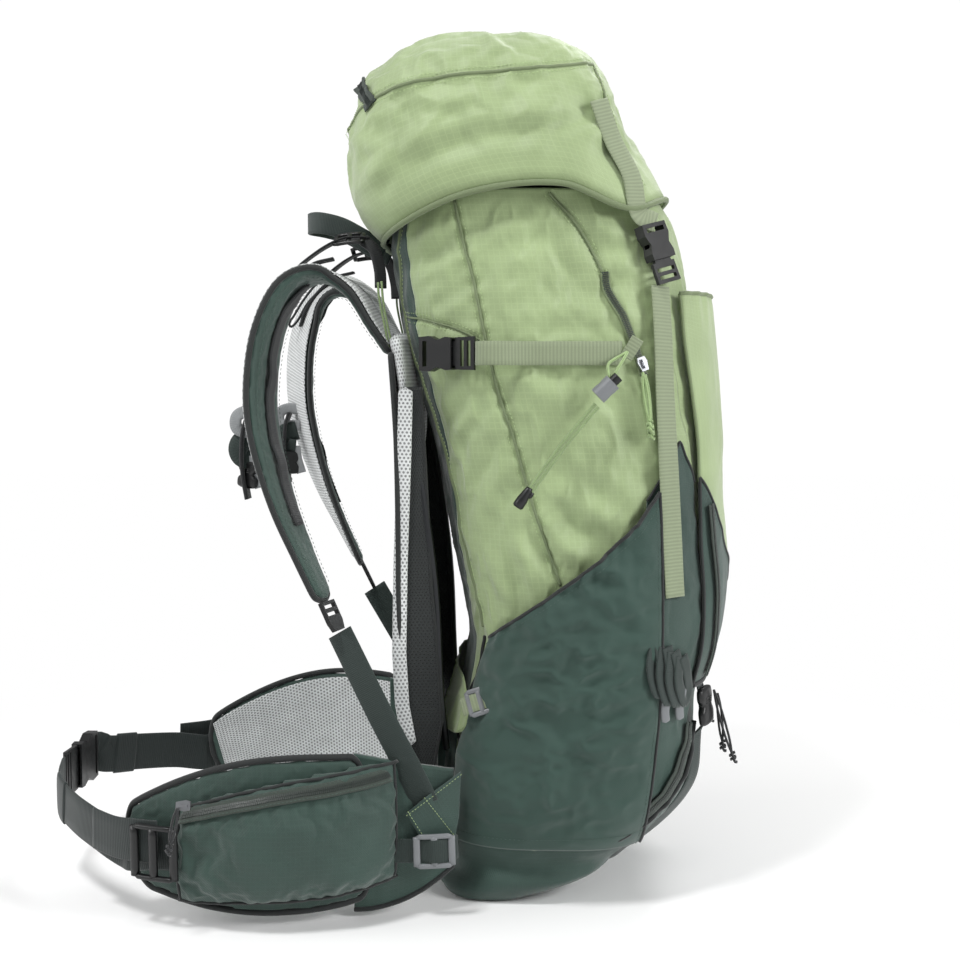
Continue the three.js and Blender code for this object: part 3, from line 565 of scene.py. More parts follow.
def sweep(name, path, facing, widths, thicks, outline, material, ends=True, round_ends=0.0):
    """Carries an outline (across, out) of half sizes along a path. facing is what its flat face looks at."""
    p = np.asarray(path, dtype=float)
    n = len(p)
    along = tangents(p)
    look = np.asarray(facing, dtype=float)
    if look.ndim == 1:
        look = np.tile(look, (n, 1))
    across = unit(np.cross(look, along))
    normal = unit(np.cross(along, across))
    widths = np.broadcast_to(np.asarray(widths, dtype=float), (n,)).copy()
    thicks = np.broadcast_to(np.asarray(thicks, dtype=float), (n,)).copy()
    if round_ends:
        reach = reach_of(p)
        for d in (reach, reach[-1] - reach):
            t = np.clip(1 - d / round_ends, 0, 1)
            widths *= np.sqrt(np.maximum(1 - t ** 2, 0.0004))
            thicks *= np.sqrt(np.maximum(1 - t ** 2, 0.0016)) ** 0.7
    section = np.asarray(outline, dtype=float)
    k = len(section)
    rings = p[:, None, :] + across[:, None, :] * (section[None, :, 0:1] * widths[:, None, None] / 2) \
        + normal[:, None, :] * (section[None, :, 1:2] * thicks[:, None, None] / 2)
    run = reach_of(p)
    vertices = rings.reshape(-1, 3)
    faces, uvs = [], []
    around = reach_of(np.vstack([section, section[:1]]) * [widths.max() / 2, thicks.max() / 2])
    for i in range(n - 1):
        for j in range(k):
            m = (j + 1) % k
            faces.append((i * k + j, (i + 1) * k + j, (i + 1) * k + m, i * k + m))
            uvs += [(around[j], run[i]), (around[j], run[i + 1]), (around[j + 1], run[i + 1]),
                    (around[j + 1], run[i])]
    if ends:
        for ring, backwards in ((0, False), (n - 1, True)):
            loop = [ring * k + j for j in range(k)]
            faces.append(tuple(reversed(loop)) if backwards else tuple(loop))
            uvs += [(float(section[j, 0]) * 0.01, run[ring])
                    for j in (reversed(range(k)) if backwards else range(k))]
    return make(name, vertices, faces, material, uvs)


FLAT = [(-1, -0.35), (-0.94, -1), (-0.5, -1), (0, -1), (0.5, -1), (0.94, -1), (1, -0.35),
        (1, 0.35), (0.94, 1), (0.5, 1), (0, 1), (-0.5, 1), (-0.94, 1), (-1, 0.35)]
ROUND = [(math.cos(a), math.sin(a)) for a in np.linspace(0, 2 * math.pi, 12, endpoint=False)]


def pillow(power=2.6, count=28):
    """A cushion's outline: flat in the middle and rounded to its two edges."""
    out = []
    for a in np.linspace(0, 2 * math.pi, count, endpoint=False):
        c, s = math.cos(a), math.sin(a)
        out.append((math.copysign(abs(c) ** 0.62, c), math.copysign(abs(s) ** (2 / power), s)))
    return out


def strap(name, points, facing, width, material, thick=0.0018, count=None):
    """Flat webbing along points; facing is one way for its flat face, or one for each stretch."""
    path = curve_through(points, count or max(12, int(length_of(curve_through(points, 60)) / 0.004)))
    several = np.ndim(facing) == 2 or isinstance(facing, list)
    look = np.asarray([tuple(f) for f in facing]) if several else np.asarray(tuple(facing), dtype=float)
    if look.ndim == 2 and len(look) != len(path):
        look = evenly(look, len(path)) if len(look) > 1 else np.tile(look[0], (len(path), 1))
    return sweep(name, path, look, width, thick, FLAT, material)


def cordlike(name, points, radius, material, count=None, sides=10):
    """A round line of an even radius, such as piping or a cord."""
    stations = count or max(12, int(length_of(curve_through(points, 60)) / max(0.0015, radius)))
    path = curve_through(points, stations)
    along = tangents(path)
    look = np.zeros_like(path)
    current = np.array([0.31, 0.52, 0.79])
    for i, t in enumerate(along):
        current = current - t * np.dot(current, t)
        current /= max(np.linalg.norm(current), 1e-9)
        look[i] = current
    outline = [(math.cos(a), math.sin(a)) for a in np.linspace(0, 2 * math.pi, sides, endpoint=False)]
    return sweep(name, path, look, 2 * radius, 2 * radius, outline, material)


def bind(name, points, radius, count, body="pack"):
    """A binding sewn along an edge of dark cloth."""
    return settle(cordlike(name, points, radius, "binding", count, 8), body)


def grid_piece(name, grid, material, wall=0.0, normals=None, wrap=False):
    """A sheet from rows of points, given a wall on its inner side."""
    g = np.asarray(grid, dtype=float)
    rows, columns = g.shape[:2]
    if normals is None:
        normals = grid_normals(g, wrap)
    layers = [g] if not wall else [g, g - normals * wall]
    vertices = np.concatenate([layer.reshape(-1, 3) for layer in layers])
    step_u = np.zeros((rows, columns))
    step_u[:, 1:] = np.cumsum(np.linalg.norm(np.diff(g, axis=1), axis=2), axis=1)
    mid = step_u[rows // 2]
    run = reach_of(g[:, columns // 2])
    faces, uvs = [], []
    last = columns if wrap else columns - 1
    wide = np.concatenate([mid, [mid[-1] + np.linalg.norm(g[rows // 2, 0] - g[rows // 2, -1])]])
    for layer in range(len(layers)):
        base = layer * rows * columns
        for r in range(rows - 1):
            for c in range(last):
                m = (c + 1) % columns
                quad = (base + r * columns + c, base + r * columns + m, base + (r + 1) * columns + m,
                        base + (r + 1) * columns + c)
                corner = [(wide[c], run[r]), (wide[c + 1], run[r]), (wide[c + 1], run[r + 1]),
                        (wide[c], run[r + 1])]
                if layer:
                    quad, corner = quad[::-1], corner[::-1]
                faces.append(quad)
                uvs += corner
    if wall:
        inner = rows * columns
        border = [(0, c, 0, (c + 1) % columns) for c in range(last)]
        border += [(rows - 1, (c + 1) % columns, rows - 1, c) for c in range(last)]
        if not wrap:
            border += [(r + 1, 0, r, 0) for r in range(rows - 1)] + [(r, columns - 1, r + 1, columns - 1)
                    for r in range(rows - 1)]
        for r0, c0, r1, c1 in border:
            a, b = r0 * columns + c0, r1 * columns + c1
            faces.append((b, a, inner + a, inner + b))
            uvs += [(wide[c1], run[r1]), (wide[c0], run[r0]), (wide[c0] + wall, run[r0]),
                    (wide[c1] + wall, run[r1])]
    return make(name, vertices, faces, material, uvs, outwards=bool(wall))


def grid_normals(g, wrap=False):
    du = np.gradient(g, axis=1)
    if wrap:
        du[:, 0] = (g[:, 1] - g[:, -1]) / 2
        du[:, -1] = (g[:, 0] - g[:, -2]) / 2
    dv = np.gradient(g, axis=0)
    return unit(np.cross(du, dv))


def join(name, pieces):
    """Several meshes of one material and one body as one piece."""
    edit = bmesh.new()
    for piece in pieces:
        edit.from_mesh(piece.data)
    mesh = bpy.data.meshes.new(name)
    edit.to_mesh(mesh)
    edit.free()
    for material in pieces[0].data.materials:
        mesh.materials.append(material)
    joined = show(bpy.data.objects.new(name, mesh))
    for piece in pieces:
        bpy.data.objects.remove(piece, do_unlink=True)
    return joined


def flip(p, side):
    """A left-side point or row of points, on the side asked for (1 left, -1 right)."""
    q = np.array(p, dtype=float, copy=True)
    q[..., 1] *= side
    return q


# ---- repeated pieces, by geometry nodes ---------------------------------------------------------
def repeat_tree(name, shape):
    """A tree that sets a small shape at even steps along a path: its stitches, teeth or ribs."""
    tree = bpy.data.node_groups.new(name, "GeometryNodeTree")
    face = tree.interface
    face.new_socket("Path", in_out="INPUT", socket_type="NodeSocketGeometry")
    sockets = {}
    for label, kind, value in (("Spacing", "NodeSocketFloat", 0.003), ("Length", "NodeSocketFloat", 0.002),
                               ("Width", "NodeSocketFloat", 0.0006), ("Height", "NodeSocketFloat", 0.0005),
                               ("Finish", "NodeSocketMaterial", None)):
        made = face.new_socket(label, in_out="INPUT", socket_type=kind)
        if value is not None:
            made.default_value = value
        sockets[label] = made.identifier
    face.new_socket("Geometry", in_out="OUTPUT", socket_type="NodeSocketGeometry")
    n = tree.nodes
    given, result = n.new("NodeGroupInput"), n.new("NodeGroupOutput")
    curve, points = n.new("GeometryNodeMeshToCurve"), n.new("GeometryNodeCurveToPoints")
    points.mode = "LENGTH"
    if shape == "stitch":
        unit_shape = n.new("GeometryNodeMeshIcoSphere")
        unit_shape.inputs["Radius"].default_value = 0.5
        unit_shape.inputs["Subdivisions"].default_value = 1
    else:
        unit_shape = n.new("GeometryNodeMeshCube")
    place, outward = n.new("GeometryNodeInstanceOnPoints"), n.new("GeometryNodeInputNamedAttribute")
    outward.data_type = "FLOAT_VECTOR"
    outward.inputs["Name"].default_value = "outward"
    rise, turn = n.new("FunctionNodeAlignEulerToVector"), n.new("FunctionNodeAlignEulerToVector")
    rise.axis = "Z"
    turn.axis = "X"
    turn.pivot_axis = "Z"
    size, real = n.new("ShaderNodeCombineXYZ"), n.new("GeometryNodeRealizeInstances")
    coat = n.new("GeometryNodeSetMaterial")
    for source, out, target, into in (
            (given, "Path", curve, "Mesh"), (curve, "Curve", points, "Curve"),
            (given, "Spacing", points, "Length"),
            (points, "Points", place, "Points"), (unit_shape, "Mesh", place, "Instance"),
            (outward, "Attribute", rise, "Vector"), (rise, "Rotation", turn, "Rotation"),
            (points, "Tangent", turn, "Vector"), (turn, "Rotation", place, "Rotation"),
            (given, "Length", size, "X"), (given, "Width", size, "Y"), (given, "Height", size, "Z"),
            (size, "Vector", place, "Scale"), (place, "Instances", real, "Geometry"),
            (real, "Geometry", coat, "Geometry"), (given, "Finish", coat, "Material"),
            (coat, "Geometry", result, "Geometry")):
        tree.links.new(source.outputs[out], target.inputs[into])
    return tree, sockets


TREES = {}


def repeated(name, shape, lines, spacing, length, width, height, material):
    """lines are (points, outward directions); the small shape is repeated along each."""
    if shape not in TREES:
        TREES[shape] = repeat_tree(shape + "_row", shape)
    tree, sockets = TREES[shape]
    vertices, edges, outward = [], [], []
    for path, normals in lines:
        base = len(vertices)
        vertices += [tuple(p) for p in path]
        outward += [tuple(q) for q in normals]
        edges += [(base + i, base + i + 1) for i in range(len(path) - 1)]
    mesh = bpy.data.meshes.new(name + "_path")
    mesh.from_pydata(vertices, edges, [])
    attribute = mesh.attributes.new("outward", "FLOAT_VECTOR", "POINT")
    attribute.data.foreach_set("vector", np.array(outward, dtype=np.float32).ravel())
    holder = show(bpy.data.objects.new(name + "_path", mesh))
    modifier = holder.modifiers.new("repeat", "NODES")
    modifier.node_group = tree
    values = {"Spacing": spacing, "Length": length, "Width": width, "Height": height,
            "Finish": MATERIALS[material]}
    for label, value in values.items():
        modifier[sockets[label]] = value
    bpy.context.view_layer.update()
    graph = bpy.context.evaluated_depsgraph_get()
    result = bpy.data.meshes.new_from_object(holder.evaluated_get(graph))
    result.name = name
    piece = show(bpy.data.objects.new(name, result))
    bpy.data.objects.remove(holder, do_unlink=True)
    return piece


def sew(name, lines, sizes, thread, body):
    """Rows of stitches along lines; sizes are their step, length, width and height."""
    return settle(repeated(name, "stitch", lines, *sizes, thread), body)


# ---- the bag's surface --------------------------------------------------------------------------
def read_sections():
    """Back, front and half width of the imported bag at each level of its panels."""
    found = {}
    for node in ("front_panel", "back_panel", "left_side_panel", "right_side_panel", "base_panel"):
        for x, y, z in points_of(NODES[node].data):
            row = found.setdefault(round(z, 4), [x, x, abs(y), 0])
            row[0], row[1], row[2], row[3] = min(row[0], x), max(row[1], x), max(row[2], abs(y)), row[3] + 1
    levels = sorted(z for z in found if found[z][3] > 40)
    keep = [levels[0]]
    for z in levels[1:]:
        if z - keep[-1] > 0.006:
            keep.append(z)
    return np.array(keep), np.array([found[z][:3] for z in keep])


LEVELS, SECTIONS = read_sections()
COLLAR_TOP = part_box("collar")[1][2]
# Above the hem the cloth runs on up under the lid, and at the foot it fills out square.
LEVELS = np.append(LEVELS, [LEVELS[-1] + 0.020, COLLAR_TOP])
SECTIONS = np.vstack([SECTIONS, SECTIONS[-1] + [0.0, -0.007, -0.0005],
        SECTIONS[-1] + [0.001, -0.020, -0.004]])
SECTIONS[:3, 2] = np.maximum(SECTIONS[:3, 2], np.array([0.116, 0.123, 0.127]))
SECTIONS[:2, 0] = (0.032, 0.027)
BAG_TOP = COLLAR_TOP - 0.002
BAG_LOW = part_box("base_panel")[0][2]
BASE_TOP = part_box("base_panel")[1][2]
SLOPES = np.gradient(SECTIONS, LEVELS, axis=0)


def between(a, slope_a, b, slope_b, wide, t):
    """A smooth step from a to b over a stretch that wide, leaving and arriving at the given slopes."""
    leave = a * (2 * t ** 3 - 3 * t ** 2 + 1) + slope_a * wide * (t ** 3 - 2 * t ** 2 + t)
    return leave + b * (3 * t ** 2 - 2 * t ** 3) + slope_b * wide * (t ** 3 - t ** 2)


def section_at(z):
    """The bag's back, front and half width at a height."""
    z = np.clip(np.asarray(z, dtype=float), LEVELS[0], LEVELS[-1])
    i = np.clip(np.searchsorted(LEVELS, z, side="right") - 1, 0, len(LEVELS) - 2)
    wide = (LEVELS[i + 1] - LEVELS[i])[..., None]
    t = ((z - LEVELS[i]))[..., None] / wide
    return between(SECTIONS[i], SLOPES[i], SECTIONS[i + 1], SLOPES[i + 1], wide, t)


def on_bag(z, angle, lift=0.0):
    """Points of the bag at heights and angles, 0 straight ahead and negative on the wearer's left."""
    z, angle, lift = np.broadcast_arrays(np.asarray(z, float), np.asarray(angle, float),
            np.asarray(lift, float))
    s = section_at(z)
    a = (s[..., 1] - s[..., 0]) / 2 + lift
    b = s[..., 2] + lift
    c, d = np.cos(angle), np.sin(angle)
    r = (np.abs(c / a) ** 3 + np.abs(d / b) ** 3) ** (-1 / 3)
    return np.stack([(s[..., 0] + s[..., 1]) / 2 + r * c, r * d, z], axis=-1)


def bag_normal(z, angle):
    turn = on_bag(z, np.asarray(angle) + 0.02) - on_bag(z, np.asarray(angle) - 0.02)
    climb = on_bag(np.asarray(z) + 0.002, angle) - on_bag(np.asarray(z) - 0.002, angle)
    return unit(np.cross(turn, climb))


def angle_at(x, z):
    """The angle on the left side where the bag has a given x."""
    x, z = np.broadcast_arrays(np.asarray(x, float), np.asarray(z, float))
    low, high = np.full(x.shape, math.radians(-178)), np.full(x.shape, math.radians(-2))
    for _ in range(32):
        mid = (low + high) / 2
        under = on_bag(z, mid)[..., 0] < x
        low, high = np.where(under, mid, low), np.where(under, high, mid)
    return (low + high) / 2


def side_line(points, lift, count=80, side=1):
    """A line over the bag's left side through (x, z) places in millimetres: its points and normals."""
    flat = side_curve(points, count)
    angle = angle_at(flat[:, 0], flat[:, 2])
    p = on_bag(flat[:, 2], angle)
    n = bag_normal(flat[:, 2], angle)
    p = p + n * (np.asarray(lift)[..., None] if np.ndim(lift) else lift) + n * crumple(p)[:, None]
    return flip(p, side), flip(n, side)


# Soft folds in the bag's cloth on its left side: (x, z) ends in millimetres, half width and height.
FOLDS = [
    ((64, 232), (8, 205), 8, 2.6), ((62, 214), (14, 186), 8, 2.4), ((40, 256), (10, 236), 8, 2.0),
    ((66, 196), (30, 176), 7, 1.8),
    ((72, 238), (128, 262), 10, 2.6), ((76, 218), (140, 232), 11, 2.4), ((80, 196), (132, 206), 9, 1.8),
    ((140, 256), (168, 214), 9, 2.6), ((158, 262), (200, 236), 10, 2.6), ((176, 226), (214, 214), 8, 2.2),
    ((60, 128), (34, 92), 8, 2.4), ((74, 118), (44, 62), 9, 2.8), ((86, 98), (54, 30), 9, 2.2),
    ((92, 52), (64, -8), 9, 2.2),
    ((110, 122), (170, 96), 10, 2.4), ((118, 100), (196, 58), 12, 3.0), ((126, 70), (204, 26), 12, 3.2),
    ((134, 34), (198, -2), 11, 2.8),
    ((112, 20), (150, -28), 9, 2.2), ((96, 10), (120, -56), 9, 2.6), ((84, -20), (98, -76), 8, 2.0),
    ((140, -12), (170, -30), 8, 1.8),
    ((206, 120), (224, 60), 9, 2.4), ((190, 196), (206, 168), 8, 2.2), ((150, 186), (186, 176), 8, 1.8),
    ((100, 178), (150, 186), 9, 1.6),
]


def ridges(p, lines):
    """The height of soft folds at points: a crest along each line with a shallow dip on both its sides."""
    total = np.zeros(len(p))
    for (x0, z0), (x1, z1), half, height in lines:
        a, b = np.array([x0, z0]) / 1000, np.array([x1, z1]) / 1000
        q = p[:, [0, 2]]
        along = b - a
        t = np.clip(((q - a) @ along) / (along @ along), 0, 1)
        near = np.linalg.norm(q - a - t[:, None] * along, axis=1)
        crest = np.exp(-(near / (half / 1000)) ** 2) - 0.55 * np.exp(-((near - half / 500)
                / (half / 900)) ** 2)
        total += height / 1000 * crest * (0.35 + 0.65 * np.sin(np.pi * np.clip(t, 0.02, 0.98)))
    return total * np.clip((np.abs(p[:, 1]) - 0.09) / 0.025, 0, 1)


def billow(p, scale, octaves=3, seed=0.0, stretch=(1, 1, 1)):
    """Smooth unevenness at points, the same for the same seed."""
    wide, deep, tall = stretch
    places = [Vector((x * scale * wide + seed, y * scale * deep, z * scale * tall)) for x, y, z in p]
    return np.array([noise.fractal(place, 0.9, 2.1, octaves) for place in places])


def crumple(p):
    """How far the bag's cloth stands off its plain shape at points of it."""
    p = np.asarray(p, dtype=float).reshape(-1, 3)
    q = p.copy()
    q[:, 1] = -np.abs(q[:, 1]) + 0.003 * np.sign(q[:, 1])
    soft = billow(q, 9.0, 2, 3.1) * 0.0022
    fine = 1 - np.abs(billow(q, 26.0, 3, 7.7, (1.0, 1.0, 0.6)))
    sharp = (np.clip(fine, 0.55, 1.0) - 0.8) * 0.0035
    calm = np.clip((BAG_TOP - q[:, 2]) / 0.02, 0.15, 1) * np.clip((q[:, 2] - BAG_LOW) / 0.06, 0.2, 1)
    return (soft * 1.1 + sharp * 1.6) * calm + ridges(q, FOLDS) * 1.7 - 0.0010


SIDE_SEAM = [(50, 276), (57, 244), (65, 214), (77, 157), (87, 115), (98, 82), (119, 14), (141, -50)]
FRONT_SEAM = [(131, 282), (148, 263), (165, 238), (180, 206)]
BACK_EDGE = [(0, 262), (-1, 232), (0, 200), (5, 168), (15, 132), (30, 90), (47, 30), (60, -30), (69, -64),
        (74, -92)]
PATCH_EDGE = [(4, 180), (18, 177), (33, 173), (54, 166), (71, 158)]


def pinch(p):
    """The narrow valley that each sewn line pulls in the cloth, and the puckers across it."""
    total = np.zeros(len(p))
    left = np.abs(p[:, 1]) > 0.09
    for line in (SIDE_SEAM, FRONT_SEAM, PATCH_EDGE):
        path = side_curve(line, 60)[:, [0, 2]]
        q = p[:, [0, 2]]
        d = np.full(len(p), 9.0)
        run = np.zeros(len(p))
        for i in range(len(path) - 1):
            a, b = path[i], path[i + 1]
            t = np.clip(((q - a) @ (b - a)) / ((b - a) @ (b - a)), 0, 1)
            near = np.linalg.norm(q - a - t[:, None] * (b - a), axis=1)
            run = np.where(near < d, i + t, run)
            d = np.minimum(d, near)
        wave = np.sin(run * 2.4) * np.exp(-(d / 0.009) ** 2) * 0.0007
        total += np.where(left, -0.0016 * np.exp(-(d / 0.0032) ** 2) + wave, 0)
    return total


def raised(grid, normals, height):
    """A grid of points moved out along their normals by a height each."""
    return (grid.reshape(-1, 3) + normals.reshape(-1, 3) * height[:, None]).reshape(grid.shape)


def bag_panel(name, low, high, z0, z1, columns, rows, material, nodes):
    angle = np.linspace(math.radians(low), math.radians(high), columns)
    z = np.linspace(z0, z1, rows)
    g = on_bag(z[:, None], angle[None, :])
    n = bag_normal(z[:, None], angle[None, :])
    flat = g.reshape(-1, 3)
    g = raised(g, n, crumple(flat) + pinch(flat))
    piece = grid_piece(name, g, material, wall=0.0024, normals=n)
    return settle(piece, "pack", nodes)


def make_bag():
    low = BASE_TOP - 0.001
    top = BAG_TOP
    split = -0.141
    bag_panel("front_cloth", -47, 47, split - 0.001, top, 110, 170, "light_cloth",
            ("front_panel",))
    bag_panel("front_low_cloth", -47, 47, low, split, 110, 60, "dark_cloth", ())
    bag_panel("left_side_cloth", -140, -47, low, top, 190, 250, "light_cloth",
            ("left_side_panel",))
    bag_panel("right_side_cloth", 47, 140, low, top, 190, 250, "light_cloth",
            ("right_side_panel",))
    bag_panel("back_cloth", 140, 220, low, top, 80, 170, "dark_cloth", ("back_panel",))
    make_base()
    make_collar()


def make_base():
    around = 220
    angle = np.linspace(0, 2 * math.pi, around, endpoint=False)
    part = np.linspace(0, 1, 26) ** 1.6
    rows = []
    for t in part:
        z = BAG_LOW + t * (BASE_TOP - BAG_LOW)
        ring = on_bag(z, angle)
        n = bag_normal(np.maximum(z, BAG_LOW + 0.004), angle)
        rows.append(ring + n * (crumple(ring) * min(1, t * 3))[:, None])
    first = rows[0]
    middle = first.mean(axis=0)
    sole = [middle + (first - middle) * s + np.array([0, 0, 0.0006 * (1 - s)])
            for s in (0.02, 0.3, 0.6, 0.85)]
    g = np.array(sole + rows)
    piece = grid_piece("base_cloth", g, "dark_cloth", wrap=True)
    settle(piece, "pack", ("base_panel",))


def make_collar():
    lo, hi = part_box("collar")
    around, rows = 260, 40
    angle = np.linspace(0, 2 * math.pi, around, endpoint=False)
    g = []
    for t in np.linspace(0, 1, rows):
        ring = on_bag(BAG_TOP, angle, -0.0065 - 0.026 * t ** 2)
        ring[:, 2] = lo[2] + 0.012 + (hi[2] - lo[2] - 0.014) * t
        gather = np.sin(angle * 31 + 2.2 * np.sin(angle * 5)) * 0.0022 * t ** 1.3
        gather += np.sin(angle * 17 + 1.3) * 0.0016 * t
        n = bag_normal(BAG_TOP - 0.005, angle)
        n[:, 2] = 0
        ring += unit(n) * (gather + billow(ring, 22, 3, 1.7) * 0.0028 * t)[:, None]
        g.append(ring)
    piece = grid_piece("collar_cloth", np.array(g), "light_cloth", wall=0.0014, wrap=True)
    settle(piece, "pack", ("collar",))


def make_side_seams():
    for word, side in SIDES:
        lines, stitches = [], []
        for points, radius in ((SIDE_SEAM, 0.0013), (FRONT_SEAM, 0.0013), (BACK_EDGE, 0.0019),
                (PATCH_EDGE, 0.0010)):
            p, n = side_line(points, radius * 0.2 - 0.0006, 120, side)
            lines.append(cordlike(f"{word}_seam_{len(lines)}", p, radius, "piping", 160, 8))
            for offset in ((-0.0042, 0.0042) if points is not BACK_EDGE else (0.0052,)):
                across = np.cross(n, tangents(p))
                stitches.append((p + across * offset + n * 0.0006, n))
        settle(join(f"{word}_seam_piping", lines), "pack")
        sew(f"{word}_seam_stitches", stitches, SEAM_STITCH, "thread", "pack")


# ---- pockets on the bag -------------------------------------------------------------------------
POCKET_TOP = np.array([(84, -98), (100, -84), (120, -68), (141, -52), (174, -27), (205, 4),
        (222.5, 29)]) / 1000
POCKET_BACK = np.array([(-279, 50), (-247, 51), (-203, 55), (-172, 64), (-140, 71), (-120, 77),
        (-98, 84)]) / 1000


# Folds of the side pocket's cloth, which hang from its top edge towards the foot.
POCKET_FOLDS = [((100, -120), (190, -100), 11, 2.6), ((80, -150), (170, -140), 12, 2.4),
        ((130, -84), (205, -60), 10, 2.4),
                ((70, -200), (120, -186), 10, 2.0), ((150, -200), (210, -170), 12, 2.4),
                ((90, -235), (190, -225), 12, 2.0),
                ((180, -30), (214, -90), 9, 2.0), ((110, -160), (140, -260), 12, 1.6),
                ((196, -120), (206, -220), 9, 1.8)]


def make_side_pockets():
    for word, side in SIDES:
        columns, rows = 130, 120
        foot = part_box(f"{word}_side_pocket")[0][2] - 0.002
        u, v = np.meshgrid(np.linspace(0, 1, columns), np.linspace(0, 1, rows))
        top_x = POCKET_TOP[0, 0] + (POCKET_TOP[-1, 0] - POCKET_TOP[0, 0]) * u
        z = foot + (np.interp(top_x, POCKET_TOP[:, 0], POCKET_TOP[:, 1]) - foot) * v
        back_x = np.interp(foot + (POCKET_TOP[0, 1] - foot) * v, POCKET_BACK[:, 0], POCKET_BACK[:, 1])
        x = back_x * (1 - u) + (0.2225 + 0.004 * np.sin(np.pi * v) - 0.012 * (1 - v) ** 3) * u
        angle = angle_at(x, z)
        g, n = on_bag(z, angle), bag_normal(z, angle)
        flat = g.reshape(-1, 3)
        uu, vv = u.ravel(), v.ravel()
        room = np.sin(np.pi * np.clip(uu, 0.001, 0.999)) ** 0.55 * np.minimum(1, vv * 3.2) ** 0.7
        tuck = (np.clip(1 - np.abs(billow(flat, 20, 3, 4.4, (1, 1, 1.4))), 0.45, 1)
                - 0.8) * 0.0105 + ridges(flat, POCKET_FOLDS)
        gather = np.sin(uu * 62 + 3 * np.sin(uu * 9)) * 0.0007 * np.clip((vv - 0.72) / 0.28, 0, 1) ** 2
        sag = -0.0045 * np.clip((vv - 0.86) / 0.14, 0, 1) ** 2
        lift = 0.0046 + 0.0125 * room + (tuck + billow(flat, 11, 2, 2.0) * 0.003) * np.minimum(1,
                room) + gather + sag * room
        g = raised(g, n, lift)
        piece = grid_piece(f"{word}_side_pocket_cloth", flip(g, side), "stretch_cloth", wall=0.0012)
        settle(piece, "pack", (f"{word}_side_pocket",))
        hem_line = evenly(g[-1], 160) - evenly(unit(n[-1]), 160) * 0.0006
        hem = cordlike(f"{word}_side_pocket_hem", flip(hem_line, side), 0.0017, "binding", 200, 8)
        front_line = evenly(g[:, -1] + n[:, -1] * 0.0004, 120)
        tape = cordlike(f"{word}_side_pocket_tape", flip(front_line, side), 0.0014, "binding", 150, 8)
        settle(join(f"{word}_side_pocket_binding", [hem, tape]), "pack")
        stitch = [(flip(evenly(g[-5] + n[-5] * 0.0002, 200), side), flip(evenly(n[-5], 200), side)),
                  (flip(evenly(g[:, -4] + n[:, -4] * 0.0002, 120), side),
                  flip(evenly(n[:, -4], 120), side)),
                  (flip(evenly(g[6] + n[6] * 0.0003, 200), side), flip(evenly(n[6], 200), side))]
        size = (0.0038, 0.0026, 0.0007, 0.0006)
        sew(f"{word}_side_pocket_stitches", stitch, size, "dark_thread", "pack")


def make_front_pocket():
    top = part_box("front_pocket")[1][2]
    columns, rows = 150, 150
    u, v = np.linspace(0, 1, columns), np.linspace(0, 1, rows)
    low = -0.140
    z = low + (top - low) * v
    zz, uu = np.meshgrid(z, u, indexing="ij")
    aa = np.radians(41.5 + 9 * (1 - (zz - low) / (top - low))) * (2 * uu - 1)
    uu, vv = np.meshgrid(u, v)
    flat = on_bag(zz, aa).reshape(-1, 3)
    n = bag_normal(zz, aa).reshape(-1, 3)
    uu, vv = uu.ravel(), vv.ravel()
    room = np.sin(np.pi * np.clip(uu, 0.001, 0.999)) ** 0.5 * np.minimum(1, vv * 3.2) ** 0.7
    folds = (1 - np.abs(billow(flat, 20, 3, 9.4, (1, 1, 0.45)))) * 0.004 - 0.0028
    gather = np.sin(uu * 70 + 2 * np.sin(uu * 8)) * 0.0008 * np.clip((vv - 0.86) / 0.14, 0, 1) ** 2
    lift = 0.0050 + 0.0165 * room + (folds + billow(flat, 9, 2, 5.0) * 0.003) * np.minimum(1, room) + gather
    g = (flat + n * lift[:, None]).reshape(rows, columns, 3)
    n = n.reshape(g.shape)
    surface = (g, n, low, top)
    share = np.linspace(-1, 1, columns)
    foot = front_boundary(share) - 0.004
    rise = np.linspace(0, 1, rows)[:, None]
    p, _ = on_front(surface, share[None, :], foot[None, :] * (1 - rise) + top * rise, 0.0)
    settle(grid_piece("front_pocket_cloth", p, "light_cloth", wall=0.0012), "pack",
            ("front_pocket",))
    settle(cordlike("front_pocket_hem", evenly(p[-1], 160), 0.0019, "piping", 200, 8), "pack")
    sides = [cordlike(f"front_pocket_edge_{k}", evenly(p[:, k], 140), 0.0013, "piping", 180, 8)
            for k in (0, -1)]
    settle(join("front_pocket_edges", sides), "pack")
    return surface


def front_boundary(share):
    """The height where the front's light cloth meets the dark, at a share across the front pocket."""
    return -0.072 + 0.112 * np.abs(share) ** 1.7


def on_front(surface, share, z, lift):
    """Points over the front pocket at a share across it (-1 to 1) and a height, and the normals there."""
    g, n, low, high = surface
    rows, columns = g.shape[:2]
    share, z, lift = np.broadcast_arrays(share, z, lift)
    r = np.clip((z - low) / (high - low), 0, 1) * (rows - 1)
    c = (share + 1) / 2 * (columns - 1)
    r0, c0 = np.clip(r.astype(int), 0, rows - 2), np.clip(c.astype(int), 0, columns - 2)
    fr, fc = (r - r0)[..., None], (c - c0)[..., None]
    mixed = [(1 - fr) * (1 - fc) * a[r0, c0] + fr * (1 - fc) * a[r0 + 1, c0]
             + (1 - fr) * fc * a[r0, c0 + 1] + fr * fc * a[r0 + 1, c0 + 1] for a in (g, n)]
    return mixed[0] + unit(mixed[1]) * lift[..., None], unit(mixed[1])


